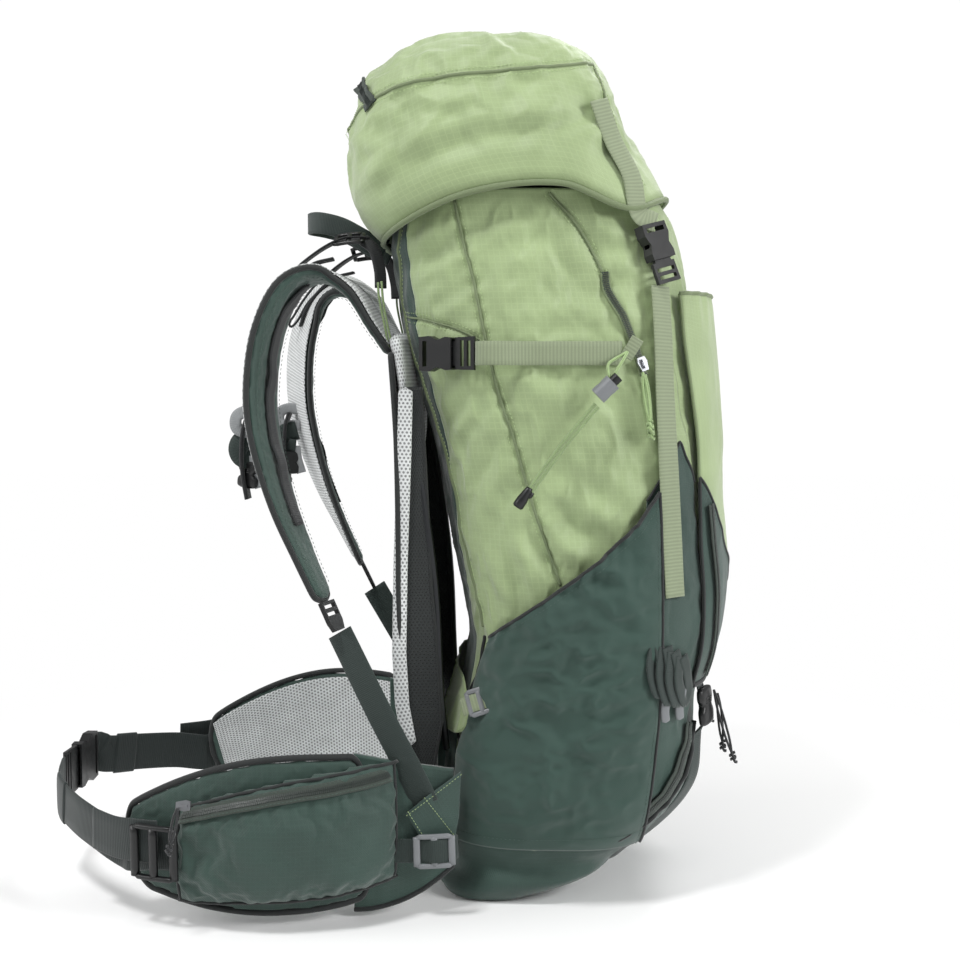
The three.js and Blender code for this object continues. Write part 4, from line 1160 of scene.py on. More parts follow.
def make_front_dark(surface):
    """The dark cloth of the bag's front: up both edges of the front pocket, with a zipper down each."""
    low = surface[2]
    share = np.linspace(-1, 1, 150)
    top = front_boundary(share)
    v = np.linspace(0, 1, 90)
    z = low + (top[None, :] - low) * v[:, None]
    p, normal = on_front(surface, share[None, :], z, 0.0008)
    settle(grid_piece("front_dark_cloth", p, "dark_cloth", wall=0.0011), "pack")
    edges = [cordlike(f"front_dark_edge_{k}", evenly(p[:, k], 100), 0.0015, "binding", 120, 8)
            for k in (0, -1)]
    settle(join("front_dark_edges", edges), "pack")
    for k, line in enumerate((p[-1], p[0])):
        bind(f"front_dark_piping_{k}", evenly(line, 180), (0.0013, 0.0026)[k], 220)
    stitch = [(evenly(p[-5], 180), evenly(normal[-5], 180)), (evenly(p[6], 180), evenly(normal[6], 180))]
    sew("front_dark_stitches", stitch, POCKET_STITCH, "dark_thread", "pack")
    for word, side in SIDES:
        zs = np.linspace(0.016, low + 0.006, 80)
        t = np.linspace(0, 1, 80)
        line, out = on_front(surface, -(0.93 - 0.10 * t) * side, zs, 0.0030)
        zipper(f"{word}_front_zip", line, out, "pack", 0.013)
        corner_cloth(word, side)


def corner_cloth(word, side):
    """The dark cloth between the side pocket and the front, rising to a point."""
    u = np.linspace(0, 1, 40)
    v = np.linspace(0, 1, 130)
    uu, vv = np.meshgrid(u, v)
    top = np.interp(uu, [0, 0.25, 0.66, 1], [0.022, 0.040, 0.072, 0.036])
    z = (BASE_TOP - 0.002) + (top - BASE_TOP + 0.002) * vv
    start = angle_at(np.full_like(z, 0.214), z)
    angle = start + (math.radians(-46) - start) * uu
    p = on_bag(z, angle)
    n = bag_normal(z, angle)
    p = raised(p, n, crumple(p) * 0.8 + 0.0024)
    settle(grid_piece(f"{word}_corner_cloth", flip(p, side), "dark_cloth", wall=0.0011,
            normals=flip(n, side)), "pack")
    bind(f"{word}_corner_piping", flip(evenly(p[-1], 60), side), 0.0012, 80)


def zipper(name, line, outward, body, width=0.014, teeth="zip_teeth", tape="zip_tape"):
    """A closed coil zipper along a line: its tape and its two rows of teeth."""
    count = max(30, int(length_of(line) / 0.003))
    path, out = evenly(np.asarray(line), count), unit(evenly(np.asarray(outward), count))
    settle(sweep(name + "_tape", path, out, width, 0.0012, FLAT, tape), body)
    across = unit(np.cross(out, tangents(path)))
    rows = [(path + across * s * 0.0013 + out * 0.0009, out) for s in (-1, 1)]
    settle(repeated(name + "_teeth", "tooth", rows, 0.0016, 0.00085, 0.0024, 0.0011, teeth), body)
    rows = [(path + across * s * (width / 2 - 0.0016) + out * 0.0007, out) for s in (-1, 1)]
    sew(name + "_stitches", rows, (0.0034, 0.0024, 0.0006, 0.0005), "dark_thread", body)


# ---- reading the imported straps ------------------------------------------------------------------
def node_points(node):
    """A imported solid's different corners."""
    return np.unique(np.round(points_of(NODES[node].data), 6), axis=0)


def spine(node, axis):
    """The middle line of a packed strap, read from its four-cornered sections in order along an axis."""
    p = node_points(node)
    p = p[np.argsort(p[:, axis])]
    return np.array([p[i:i + 4].mean(axis=0) for i in range(0, len(p) - 3, 4)])


def in_box(node, shares):
    """Points at shares of a node's box."""
    lo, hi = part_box(node)
    return [Vector([lo[k] + (hi[k] - lo[k]) * s[k] for k in range(3)]) for s in shares]


# ---- the lid ------------------------------------------------------------------------------------
LID_HEM = np.array([(-0.02, 0.246), (0.06, 0.279), (0.14, 0.287), (0.2, 0.268), (0.24, 0.286)])
LID_BACK = np.array([(0, -0.019), (0.2, -0.040), (0.45, -0.050), (0.7, -0.054), (0.9, -0.052), (1, -0.050)])
LID_FRONT = np.array([(0, 0.238), (0.25, 0.226), (0.5, 0.211), (0.75, 0.198), (0.9, 0.190), (1, 0.183)])


LID_HALF, LID_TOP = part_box("lid_cover")[1][1:]


def smooth_at(table, x):
    """A smooth curve through a table of (x, y)."""
    tx, ty = table[:, 0], table[:, 1]
    slope = np.empty(len(tx))
    for i in range(len(tx)):
        a, b = max(i - 1, 0), min(i + 1, len(tx) - 1)
        slope[i] = (ty[b] - ty[a]) / (tx[b] - tx[a])
    x = np.asarray(x, float)
    i = np.clip(np.searchsorted(tx, x, side="right") - 1, 0, len(tx) - 2)
    w = tx[i + 1] - tx[i]
    t = np.clip((x - tx[i]) / w, -0.2, 1.2)
    return between(ty[i], slope[i], ty[i + 1], slope[i + 1], w, t)


def on_lid(angle, climb, lift=0.0):
    angle, climb = np.broadcast_arrays(np.asarray(angle, float), np.asarray(climb, float))
    tilt = climb * math.pi / 2
    close, close_long = np.maximum(np.cos(tilt), 0.001) ** 0.24, np.maximum(np.cos(tilt), 0.001) ** 0.15
    height = np.sin(tilt) ** 0.55
    back, front = smooth_at(LID_BACK, height), smooth_at(LID_FRONT, height)
    half = LID_HALF * (1 - 0.08 * height)
    a, b = (front - back) / 2 + lift, half + lift
    c, s = np.cos(angle), np.sin(angle)
    r = (np.abs(c / a) ** 3.4 + np.abs(s / b) ** 3.4) ** (-1 / 3.4)
    x = (back + front) / 2 + r * c * close_long
    hem = smooth_at(LID_HEM, x)
    crown = LID_TOP + 0.0005 - 0.034 * np.clip((0.06 - x) / 0.11, 0,
            1.2) ** 1.7 - 0.020 * np.clip((x - 0.14) / 0.06, 0, 1.2) ** 1.8
    return np.stack([x, r * s * close, hem + (crown + lift - hem) * np.minimum(1, height)], axis=-1)


LID_FOLDS = [((-44, 330), (-10, 318), 8, 2.2), ((-38, 296), (0, 300), 8, 2.0),
        ((40, 300), (120, 318), 9, 2.2), ((10, 330), (70, 336), 9, 1.8),
             ((120, 306), (176, 300), 8, 2.2), ((80, 330), (130, 350), 10, 1.8),
             ((-30, 372), (20, 378), 8, 1.4), ((196, 330), (212, 300), 8, 2.0),
             ((-30, 300), (40, 330), 10, 2.4), ((0, 280), (80, 310), 9, 1.8),
             ((90, 300), (160, 330), 11, 2.6),
             ((60, 345), (150, 352), 12, 1.8), ((150, 300), (185, 345), 10, 2.2),
             ((20, 350), (90, 362), 9, 1.4),
             ((165, 385), (195, 340), 9, 1.8), ((110, 295), (130, 340), 9, 1.8),
             ((205, 300), (222, 285), 8, 1.6),
             ((-40, 350), (0, 345), 8, 1.2)]


def lid_grid(around=300, rows=110):
    angle = np.linspace(0, 2 * math.pi, around, endpoint=False)
    climb = np.concatenate([np.linspace(0, 0.985, rows), [0.992, 0.997]])
    aa, cc = np.meshgrid(angle, climb)
    g = on_lid(aa, cc)
    n = grid_normals(g, True)
    flat = g.reshape(-1, 3)
    mirror = flat.copy()
    mirror[:, 1] = -np.abs(mirror[:, 1]) + 0.004 * np.sign(mirror[:, 1])
    soft = billow(mirror, 8.0, 2, 12.0) * 0.0050
    sharp = (np.clip(1 - np.abs(billow(mirror, 21, 3, 5.5)), 0.5, 1) - 0.8) * 0.0060
    folds = ridges(flat, LID_FOLDS)
    lift = (soft + sharp * 1.3) * np.clip(cc.ravel() * 8, 0.2, 1) + folds * 1.9 * np.clip(cc.ravel() * 10,
            0, 1) - 0.001
    return raised(g, n, lift), n


def make_lid():
    g, n = lid_grid()
    ring = g[-1]
    middle = ring.mean(axis=0)
    g2 = np.concatenate([g, [middle + (ring - middle) * 0.4], [middle + (ring - middle) * 0.03]])
    inner = np.concatenate([n, n[-1:], n[-1:]])
    piece = grid_piece("lid_cloth", g2, "light_cloth", wall=0.0026, normals=inner, wrap=True)
    settle(piece, "lid", ("lid_cover",))
    tree = bvh_of(piece)
    loop = np.vstack([g[0], g[0][:1]])
    settle(cordlike("lid_hem", loop + np.vstack([n[0], n[0][:1]]) * 0.0002, 0.0026, "piping", 420, 8),
            "lid")
    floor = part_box("lid_floor")[0][2]
    angle = np.linspace(0, 2 * math.pi, 90, endpoint=False)
    edge = on_lid(angle, 0.2, -0.006)
    middle = edge.mean(axis=0)
    rows = []
    for t in (0.03, 0.3, 0.6, 0.85, 1.0):
        row = middle + (edge - middle) * t
        row[:, 2] = floor + 0.0008 + 0.0025 * np.sin(row[:, 0] * 60) * (1 - t)
        rows.append(row)
    settle(grid_piece("lid_lining", np.array(rows), "dark_cloth", wall=0.001, wrap=True), "lid",
            ("lid_floor",))
    for word, side in SIDES:
        top_seam = [(-50, 330), (-44, 348), (-30, 360), (1, 370), (31, 376), (73, 381), (106, 384),
                (130, 387), (150, 391), (168, 396)]
        front_seam = [(168, 398), (176, 372), (184, 340), (196, 310), (210, 288)]
        lines, stitches = [], []
        for k, points in enumerate((top_seam, front_seam)):
            p, q = cast_line(tree, points, 0.0002, side, 110)
            lines.append(cordlike(f"{word}_lid_seam_{k}", p, 0.0015, "piping", 150, 8))
            across = np.cross(q, tangents(p))
            stitches += [(p + across * o + q * 0.0007, q) for o in (-0.0045, 0.0045)]
        settle(join(f"{word}_lid_piping", lines), "lid")
        sew(f"{word}_lid_stitches", stitches, SEAM_STITCH, "thread", "lid")
    make_lid_zip(tree)
    return tree


def make_lid_zip(tree):
    """The curved zipper over the rear of the lid, from one side to the other."""
    y = np.linspace(-0.104, 0.104, 90)
    lo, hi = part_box("lid_zip_slider")
    aim = Vector(((lo[0] + hi[0]) / 2, 0, (lo[2] + hi[2]) / 2))
    line, out = [], []
    for yy in y:
        drop = 0.020 * (abs(yy) / 0.104) ** 3
        hit, normal, _, _ = tree.ray_cast(Vector((aim.x - 0.12, yy, aim.z + 0.10 - drop)),
                Vector((0.78, 0, -0.62)))
        line.append(hit + normal * 0.0016)
        out.append(normal)
    zipper("lid_zip", np.array(line), np.array(out), "lid", 0.015)
    pull("lid_zip_pull", Vector((lo[0], (lo[1] + hi[1]) / 2, lo[2])) + Vector((-0.003, 0, 0.002)), 0.038,
            "lid_slider", "cord", Vector((-0.25, 0.05, -1)))


def bvh_of(piece):
    """A piece's faces, ready for lines to be cast at them."""
    edit = bmesh.new()
    edit.from_mesh(piece.data)
    tree = BVHTree.FromBMesh(edit)
    edit.free()
    return tree


def cast_line(tree, points, lift, side, count):
    """A line through (x, z) places in millimetres, laid on a piece from outside its left or right."""
    flat = side_curve(points, count)
    p, n = [], []
    for x, _, z in flat:
        hit, normal, _, _ = tree.ray_cast(Vector((x, -0.4 * side, z)), Vector((0, side, 0)))
        if hit is None:
            hit, normal, _, _ = tree.find_nearest(Vector((x, -0.13 * side, z)))
        p.append(hit + normal * lift)
        n.append(normal)
    return np.array(p), unit(np.array(n))


def pull(name, top, length, body, material, lean):
    """A knotted cord pull on a zipper slider: a loop through it and a knot at its end."""
    top = Vector(top)
    down = Vector(lean).normalized()
    side = down.cross(Vector((0, 1, 0.2))).normalized()
    end = top + down * length
    one, two = [[top, top + down * length * 0.3 + side * 0.0016 * s, top + down * length * 0.75
            + side * 0.0015 * s, end]
                for s in (1, -1)]
    knot = [end + Vector((math.cos(a) * 0.0022, math.sin(a) * 0.0022, 0.0016 * math.sin(2 * a)))
            + down * (a * 0.0006) for a in np.linspace(0, 4 * math.pi, 24)]
    tail = [end, end + down * 0.006 + side * 0.001]
    pieces = [cordlike(f"{name}_{k}", p, 0.0011, material, None, 8)
            for k, p in enumerate((one, two, knot, tail))]
    return settle(join(name, pieces), body)


# ---- straps on the bag --------------------------------------------------------------------------
def make_straps():
    """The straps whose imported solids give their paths."""
    for word, side in SIDES:
        for name, axis, material, slot, body in (
                ("front_strap", 2, "light_webbing", "light_webbing", "pack"),
                ("compression_strap", 0, "light_webbing", "light_webbing", "pack"),
                ("shoulder_webbing", 2, "dark_webbing", "dark_webbing", f"{word}_shoulder"),
                ("load_lifter", 0, "black_webbing", "black_webbing", f"{word}_shoulder")):
            node = f"{word}_{name}"
            middles = spine(node, axis)
            facings = strap_facing(node, middles)
            if name == "shoulder_webbing":
                facings = unit(facings * np.sign(facings[:, :1] + 1e-9) * -0.5
                        + np.array([0, -side, 0]) * 0.86)
            width = strap_width(node, axis)
            piece = strap(node + "_cloth", middles, facings, width, material, WEB_THICK)
            settle(piece, body, (node,))


def make_lid_straps(tree):
    """Each lid strap, from the lid's top seam down its front to the buckle."""
    for word, side in SIDES:
        top = [(171, 360), (174, 352), (181, 333), (191, 309), (203, 285), (213, 268)]
        p, n = cast_line(tree, top, 0.0016, side, 46)
        p[:, 1] = np.clip(p[:, 1], -0.1215, 0.1215)
        buckle = np.array(flip(point(221, -115.5, 256.5), side))
        path = curve_through(list(evenly(p, 4) + n[[0, 15, 30, 45]] * 0.0022) + [buckle], 70)
        look = flip(np.array([0.50, -0.80, 0.25]), side)
        settle(sweep(f"{word}_lid_strap_cloth", path, look, SMALL_WEB, WEB_THICK, FLAT, "light_webbing"),
                "lid", (f"{word}_lid_strap",))


def strap_width(node, axis):
    """A packed strap's width: the long diagonal of its thin sections."""
    p = node_points(node)
    p = p[np.argsort(p[:, axis])]
    widths = [np.max(np.linalg.norm(p[i:i + 4, None] - p[None, i:i + 4], axis=2))
            for i in range(0, len(p) - 3, 4)]
    return float(np.median(widths))


def strap_facing(node, middles):
    """The way each station's flat face looks: the short side of its packed section."""
    p = node_points(node)
    facing = []
    for m in middles:
        near = p[np.argsort(np.linalg.norm(p - m, axis=1))[:4]]
        a = near[0]
        order = np.argsort(np.linalg.norm(near - a, axis=1))
        short = near[order[1]] - a
        facing.append(short / max(np.linalg.norm(short), 1e-9))
    facing = np.array(facing)
    for i in range(1, len(facing)):
        if facing[i] @ facing[i - 1] < 0:
            facing[i] = -facing[i]
    return facing


# ---- the back ------------------------------------------------------------------------------------
def make_back():
    lo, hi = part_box("mesh_back")
    rows, columns = 90, 60
    g = np.zeros((rows, columns, 3))
    line = mesh_line()
    for r, t in enumerate(np.linspace(0, 1, rows)):
        z = lo[2] + (hi[2] - lo[2]) * t
        narrow = 1 - 0.14 * abs(2 * t - 1) ** 3
        y = np.linspace(-1, 1, columns) * hi[1] * narrow
        g[r] = np.stack([np.interp(z, line[:, 1], line[:, 0]) + 0 * y, y, np.full(columns, z)], axis=1)
    n = np.tile(np.array([-1.0, 0, 0]), (rows, columns, 1))
    piece = grid_piece("mesh_back_cloth", g, "spacer_mesh", wall=0.0028, normals=n)
    settle(piece, "pack", ("mesh_back",))
    edge = np.vstack([g[:, 0], g[-1, 1:-1], g[::-1, -1], g[0, ::-1], g[:1, 0]])
    bind("mesh_back_binding", evenly(edge + np.array([0.0014, 0, 0]), 300), 0.0026, 400)


def mesh_line():
    """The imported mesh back's front face as (x, height), from its foot to its top."""
    p = node_points("mesh_back")
    levels = np.unique(np.round(p[:, 2], 4))
    line = np.array([(p[np.abs(p[:, 2] - z) < 2e-4][:, 0].min(), z) for z in levels])
    fine = curve_through([(x, 0, z) for x, z in line], 60)
    return fine[:, [0, 2]]


def make_lumbar():
    lo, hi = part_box("lumbar_pad")
    y = np.linspace(lo[1], hi[1], 80)
    t = y / hi[1]
    face = np.interp(np.abs(t), [0, 0.6, 1], [0.009, 0.006, -0.009])
    height = (hi[2] - lo[2]) * (0.80 + 0.20 * np.cos(t * math.pi / 2))
    path = np.stack([face + 0.008, y, np.full(80, (lo[2] + hi[2]) / 2)], axis=1)
    look = np.stack([-np.ones(80), t * 0.6, np.zeros(80)], axis=1)
    piece = sweep("lumbar_pad_cover", path, look, height, 0.015, pillow(), "dark_cloth", round_ends=0.012)
    settle(piece, "pack", ("lumbar_pad",))


def make_haul_loop():
    shares = [(0.919, 0.092, 0.30), (0.701, 0.061, 0.448), (0.435, 0.076, 0.676), (0.168, 0.186, 0.791),
            (0.011, 0.5, 0.81)]
    left = in_box("haul_loop", shares)
    right = [Vector((p.x, -p.y, p.z)) for p in reversed(left[:-1])]
    path = curve_through(left + right, 60) + np.array([0, 0, 0.006])
    t = np.linspace(0, 1, 60)
    look = np.stack([-np.sin(np.pi * t), -np.cos(np.pi * t), 0 * t], axis=1)
    piece = sweep("haul_loop_webbing", path, look, 0.0195, 0.0026, FLAT, "dark_webbing")
    settle(piece, "pack", ("haul_loop",))


# ---- the harness --------------------------------------------------------------------------------
PAD_LINE = [(1.10, 0.77, 0.735), (0.947, 0.742, 0.822), (0.767, 0.714, 0.925), (0.515, 0.668, 0.972),
        (0.282, 0.577, 0.925), (0.138, 0.485, 0.795),
            (0.093, 0.393, 0.628), (0.138, 0.32, 0.481), (0.273, 0.256, 0.304), (0.434, 0.21, 0.157),
            (0.614, 0.155, 0.01)]


def cushion(name, side, body, line, width, thick, fullness, corner, rim, held, depth, puff, u, bow,
        gap, trim):
    """A puffed cushion along a line, pinned at its rims and its inner face, and the air mesh on that face.

    line is its middle, what its outer face looks at and the way across. held and u are shares across it, of
    the pinned inner face and of the mesh. puff is the pressure, the growth and the limit of the swelling.
    """
    middle, look, across = line
    pressure, growth, limit = puff
    piece = sweep(name + "_cover", flip(middle, side), flip(look, side), width, thick * fullness, pillow(),
                  "padded_cloth", round_ends=corner)
    rims = np.vstack([flip(middle + across * (width * s)[:, None] * rim, side) for s in (-1, 1)])
    face = (middle - look * (thick * depth)[:, None])[:, None]
    back = face + across[:, None] * (width[:, None] * held)[:, :, None]
    puffed(piece, rims, pressure, growth, limit=limit, flat=flip(back, side))
    settle(piece, body, (name,))
    inner = middle - look * (thick / 2 + gap)[:, None]
    g = inner[:, None, :] + across[:, None, :] * (width[:, None, None] * u[None, :, None])
    g = (g - look[:, None, :] * bow[None, :, None])[trim:-trim]
    normals = -flip(np.tile(look[trim:-trim, None], (1, len(u), 1)), side)
    settle(grid_piece(name + "_lining", flip(g, side), "spacer_mesh", wall=0.0010, normals=normals), body)


def make_shoulder_pads():
    middle = curve_through(in_box("left_shoulder_pad", PAD_LINE), 110)
    t = np.linspace(0, 1, 110)
    side = unit(np.stack([np.full(110, 0.12), np.ones(110), 0.1 * t], axis=1))
    look = unit(-np.cross(side, tangents(middle)))
    # Each pad leans outwards, so its lining turns towards the wearer's arm.
    upright = look
    width = 0.064 * (0.86 + 0.2 * np.sin(np.pi * np.minimum(1, t * 1.1)) - 0.34 * t ** 4)
    thick = 0.0115 * (0.75 + 0.25 * np.sin(np.pi * np.minimum(1, t + 0.1)))
    along = tangents(middle)
    for word, side, lean in (("left", 1, 0.05), ("right", -1, 0.40)):
        look = unit(upright + np.array([0.0, -1.0, 0.0])
                * (lean * np.sin(np.pi * np.clip(t * 0.9 + 0.08, 0, 1)))[:, None])
        across = unit(np.cross(look, along))
        body = f"{word}_shoulder"
        u = np.linspace(-0.46, 0.46, 26)
        bow = (1 - (u / 0.5) ** 4) * 0.0010
        cushion(f"{word}_shoulder_pad", side, body, (middle, look, across), width, thick, 0.94, 0.010,
                0.493,
                np.linspace(-0.45, 0.45, 12), 0.47, (3.0, 0.03, 0.0035), u, bow, 0.0006, 3)
        rim = rim_of(middle - look * 0.002, across, width, 0.010, 0.0003)
        bind(f"{word}_shoulder_pad_binding", flip(rim, side), 0.0026, 520, body)
        rows = [(flip(middle + across * (width * s)[:, None] * 0.40 + look * (thick / 2 + 0.0001)[:, None],
                side)[4:-4], flip(look, side)[4:-4]) for s in (-1, 1)]
        sew(f"{word}_pad_stitches", rows, (0.004, 0.0028, 0.0007, 0.0006), "dark_thread", body)
        make_daisy(word, side, middle, look, thick, body)


def make_daisy(word, side, middle, look, thick, body):
    """The daisy-chain webbing sewn down the pad's outer face, raised in three low loops."""
    part = slice(30, 92)
    line = (middle + look * (thick / 2 + 0.0016)[:, None])[part]
    bumps = np.maximum(0, np.sin(np.linspace(0, 6 * np.pi, len(line)))) ** 2 * 0.0022
    line = line + look[part] * bumps[:, None]
    piece = sweep(f"{word}_daisy_webbing", flip(line, side), flip(look[part], side), 0.019, 0.0016, FLAT,
            "black_webbing")
    settle(piece, body)


def make_chest():
    for word, _ in SIDES:
        lo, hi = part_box(f"{word}_chest_strap")
        x, y = (lo[0] + hi[0]) / 2 - 0.001, (lo[1] + hi[1]) / 2
        path = curve_through([(x + 0.004, y, hi[2]), (x, y, hi[2] - 0.014), (x - 0.0014, y, hi[2] - 0.034),
                (x, y, lo[2] + 0.018), (x + 0.003, y, lo[2])], 40)
        strap_piece = sweep(f"{word}_chest_webbing", path, (-1, 0, 0), 0.0178, 0.0028, FLAT,
                "black_webbing")
        settle(strap_piece, f"{word}_chest", (f"{word}_chest_strap",))


# ---- the hip belt -------------------------------------------------------------------------------
WING_LINE = [(0.978, 0.784, 0.525), (0.837, 0.401, 0.51), (0.611, 0.155, 0.495), (0.385, 0.237, 0.457),
        (0.159, 0.565, 0.404), (0.032, 0.839, 0.351)]


def plan_facing(path):
    along = tangents(path)
    out = unit(np.stack([along[:, 1], -along[:, 0], 0 * along[:, 0]], axis=1))
    out[out[:, 1] > 0] *= -1
    return out


def make_hip_wings():
    middle = curve_through(in_box("left_hip_wing", WING_LINE), 110)
    t = np.linspace(0, 1, 110)
    out = plan_facing(middle)
    height = 0.138 * (0.86 + 0.14 * np.sin(np.pi * t) - 0.42 * t ** 2.2)
    thick = 0.0118 * (1 - 0.25 * t)
    along = tangents(middle)
    across = unit(np.cross(out, along))
    for word, side in SIDES:
        body = f"{word}_hip"
        u = np.linspace(-0.455, 0.455, 50)
        cushion(f"{word}_hip_wing", side, body, (middle, out, across), height, thick, 0.92, 0.016, 0.494,
                np.linspace(-0.46, 0.46, 24), 0.46, (4.0, 0.06, 0.005), u, 0 * u, 0.0005, 4)
        rim = rim_of(middle, across, height, 0.016, 0.0004)
        bind(f"{word}_hip_wing_binding", flip(rim, side), 0.0029, 480, body)
        make_hip_pocket(word, side, middle, out, thick, body)


def closed_piece(name, face, back, material):
    """A closed cushion between two grids of points that share their outline."""
    rows, columns = face.shape[:2]
    vertices = np.concatenate([face.reshape(-1, 3), back.reshape(-1, 3)])
    half = rows * columns
    faces = []
    for r in range(rows - 1):
        for k in range(columns - 1):
            a = r * columns + k
            faces.append((a, a + 1, a + columns + 1, a + columns))
            faces.append((half + a, half + a + columns, half + a + columns + 1, half + a + 1))
    rim = [(0, k) for k in range(columns)] + [(r, columns - 1) for r in range(1, rows)]
    rim += [(rows - 1, k) for k in range(columns - 2, -1, -1)] + [(r, 0) for r in range(rows - 2, 0, -1)]
    loop = [r * columns + k for r, k in rim]
    for a, b in zip(loop, loop[1:] + loop[:1]):
        faces.append((b, a, half + a, half + b))
    return make(name, vertices, faces, material)


def make_hip_pocket(word, side, middle, out, thick, body):
    depth = 0.0205
    part = slice(0, 88)
    t = np.linspace(0, 1, 88)
    front = int(np.argmin(np.abs(middle[:, 0] + 0.181)))
    run = evenly(np.vstack([middle[0] + (middle[0] - middle[4]) * 2.6, middle[:front]]), 88)
    out = plan_facing(run)
    base = run + out * (thick[:88] / 2 + 0.0014)[:, None]
    rows, columns = 70, 88
    v = np.linspace(-1, 1, rows)
    tall = (0.058 - 0.017 * t ** 1.8) * (1 - 0.10 * (1 - t) ** 3)
    swell = (0.35 + 0.65 * np.sin(np.pi * (0.12 + 0.76 * t))) * np.minimum(1,
            np.minimum(t, 1 - t) * 14) ** 0.5
    g = np.zeros((rows, columns, 3))
    for r, vv in enumerate(v):
        bulge = (1 - abs(vv) ** 3.2) ** 0.62 if abs(vv) < 1 else 0.0
        g[r] = base + np.array([0, 0, 1.0]) * (tall * vv + (0.004 - 0.012 * t))[:,
                None] + out[part] * (depth * swell * bulge)[:, None]
    flat = g.reshape(-1, 3)
    n = grid_normals(g).reshape(-1, 3)
    wide = np.tile(out[part], (rows, 1))
    n = np.where(np.sum(n * wide, axis=1)[:, None] < 0, -n, n)
    tuck = (np.clip(1 - np.abs(billow(flat, 34, 3, 2.2)), 0.5, 1) - 0.82) * 0.006
    g = (flat + wide * (tuck * 0.6)[:, None]).reshape(g.shape)
    under = g - out[part][None] * 0.0020
    under[1:-1, 1:-1] = (base - out[part] * 0.0006)[None,
            1:-1] + (g[1:-1, 1:-1] - base[None, 1:-1]) * np.array([0, 0, 1.0])
    piece = closed_piece(f"{word}_hip_pocket_cover", flip(g, side), flip(under, side), "padded_cloth")
    rims = np.vstack([flip(evenly(q, 90), side)
            for q in (g[0], g[-1], g[:, 0], g[:, -1], g[int(rows * 0.885)])])
    puffed(piece, rims, 4.5, 0.09, limit=0.0045)
    settle(piece, body, (f"{word}_hip_pocket",))
    lo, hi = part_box(f"{word}_hip_zip_slider")
    start = Vector(((lo[0] + hi[0]) / 2, 0, (lo[2] + hi[2]) / 2))
    row = int(rows * 0.885)
    line = g[row, 5:-4] + out[part][5:-4] * 0.0006 + np.array([0, 0, 0.0012])
    q = unit(out[part][5:-4] * 0.75 + np.array([0, 0, 0.66]))
    zipper(f"{word}_hip_zip", flip(line, side), flip(q, side), body, 0.013)
    grip = Vector((start.x - 0.004, (lo[1] if side > 0 else hi[1]), start.z - 0.001))
    pull(f"{word}_hip_zip_pull", grip, 0.030, f"{word}_hip_slider", "black_cord",
            Vector((-0.2, -0.05 * side, -1)))
    rim = np.vstack([g[2, :], g[2:-2, -3], g[-3, ::-1], g[-3:2:-1, 2]])
    bind(f"{word}_hip_pocket_piping", flip(evenly(rim, 260), side), 0.0015, 320, body)


# ---- cords --------------------------------------------------------------------------------------
CORD_TAIL = [(169, -155.5, 104), (158, -155.5, 91), (143, -156, 73), (129, -157, 54), (119, -158, 40),
        (113, -158.5, 31)]


def free_cord(name, route, radius, material):
    """A cord as a round curve along its route, with closed ends."""
    curve = bpy.data.curves.new(name, "CURVE")
    curve.dimensions = "3D"
    curve.bevel_depth = radius
    curve.bevel_resolution = 3
    curve.use_fill_caps = True
    line = curve.splines.new("POLY")
    line.points.add(len(route) - 1)
    for p, q in zip(line.points, route):
        p.co = (*q, 1)
    piece = show(bpy.data.objects.new(name, curve))
    curve.materials.append(MATERIALS[material])
    return piece


def cord_cap(name, places, widths):
    """The moulded cap on a cord's end, of the given widths along it."""
    return settle(sweep(name, places, (0, 1, 0.1), widths, widths, ROUND, "black_plastic"), "pack")


def make_side_cords():
    for word, side in SIDES:
        route = curve_through(on_side(CORD_TAIL, side), 40)
        tail = free_cord(f"{word}_cord_tail", route, 0.0016, "cord")
        end = Vector(route[-1])
        settle(tail, "pack", (f"{word}_side_cord",))
        drop = (end - Vector(route[-4])).normalized()
        places = [end + drop * s - drop * 0.004 for s in (0, 0.002, 0.012, 0.018, 0.0195)]
        cone = cord_cap(f"{word}_cord_end", places, [0.0052, 0.0066, 0.0095, 0.0095, 0.007])


def shared_finish():
    """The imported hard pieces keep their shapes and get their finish."""
    for node in NODES.values():
        for k, slot in enumerate(node.material_slots):
            if slot.material and slot.material.name.split(".")[0] in MATERIALS:
                node.material_slots[k].material = MATERIALS[slot.material.name.split(".")[0]]


# ---- small hardware and trims --------------------------------------------------------------------
def frame_at(centre, along, outward):
    """Axes for a small piece: along its strap, across it, and out of its face."""
    a = Vector(along).normalized()
    o = Vector(outward)
    o = (o - a * o.dot(a)).normalized()
    return Vector(centre), a, o.cross(a), o


def ladder(name, centre, along, outward, web, length, body, material="grey_plastic",
        bars=3, thick=0.0034, bar_wide=0.0045):
    """A ladder lock or tri-glide: two rails and their bars, all rounded."""
    c, a, w, o = frame_at(centre, along, outward)
    half = web / 2 + 0.0022
    pieces = []
    for s in (-1, 1):
        rail = [c + w * s * half + a * t + o * (0.0009 * math.cos(t / length * math.pi))
                for t in np.linspace(-length / 2, length / 2, 9)]
        pieces.append(sweep(f"{name}_rail{s}", rail, o, 0.0044, thick, pillow(2.2, 12), material,
                round_ends=0.0015))
    for k in range(bars):
        t = -length / 2 + 0.0016 + (length - 0.0032) * k / (bars - 1)
        bar = [c + a * t + w * s * half + o * (0.0012 if 0 < k < bars - 1 else 0.0)
                for s in np.linspace(-1, 1, 7)]
        pieces.append(sweep(f"{name}_bar{k}", bar, o, bar_wide, thick * 0.85, pillow(2.2, 12), material))
    return settle(join(name, pieces), body)


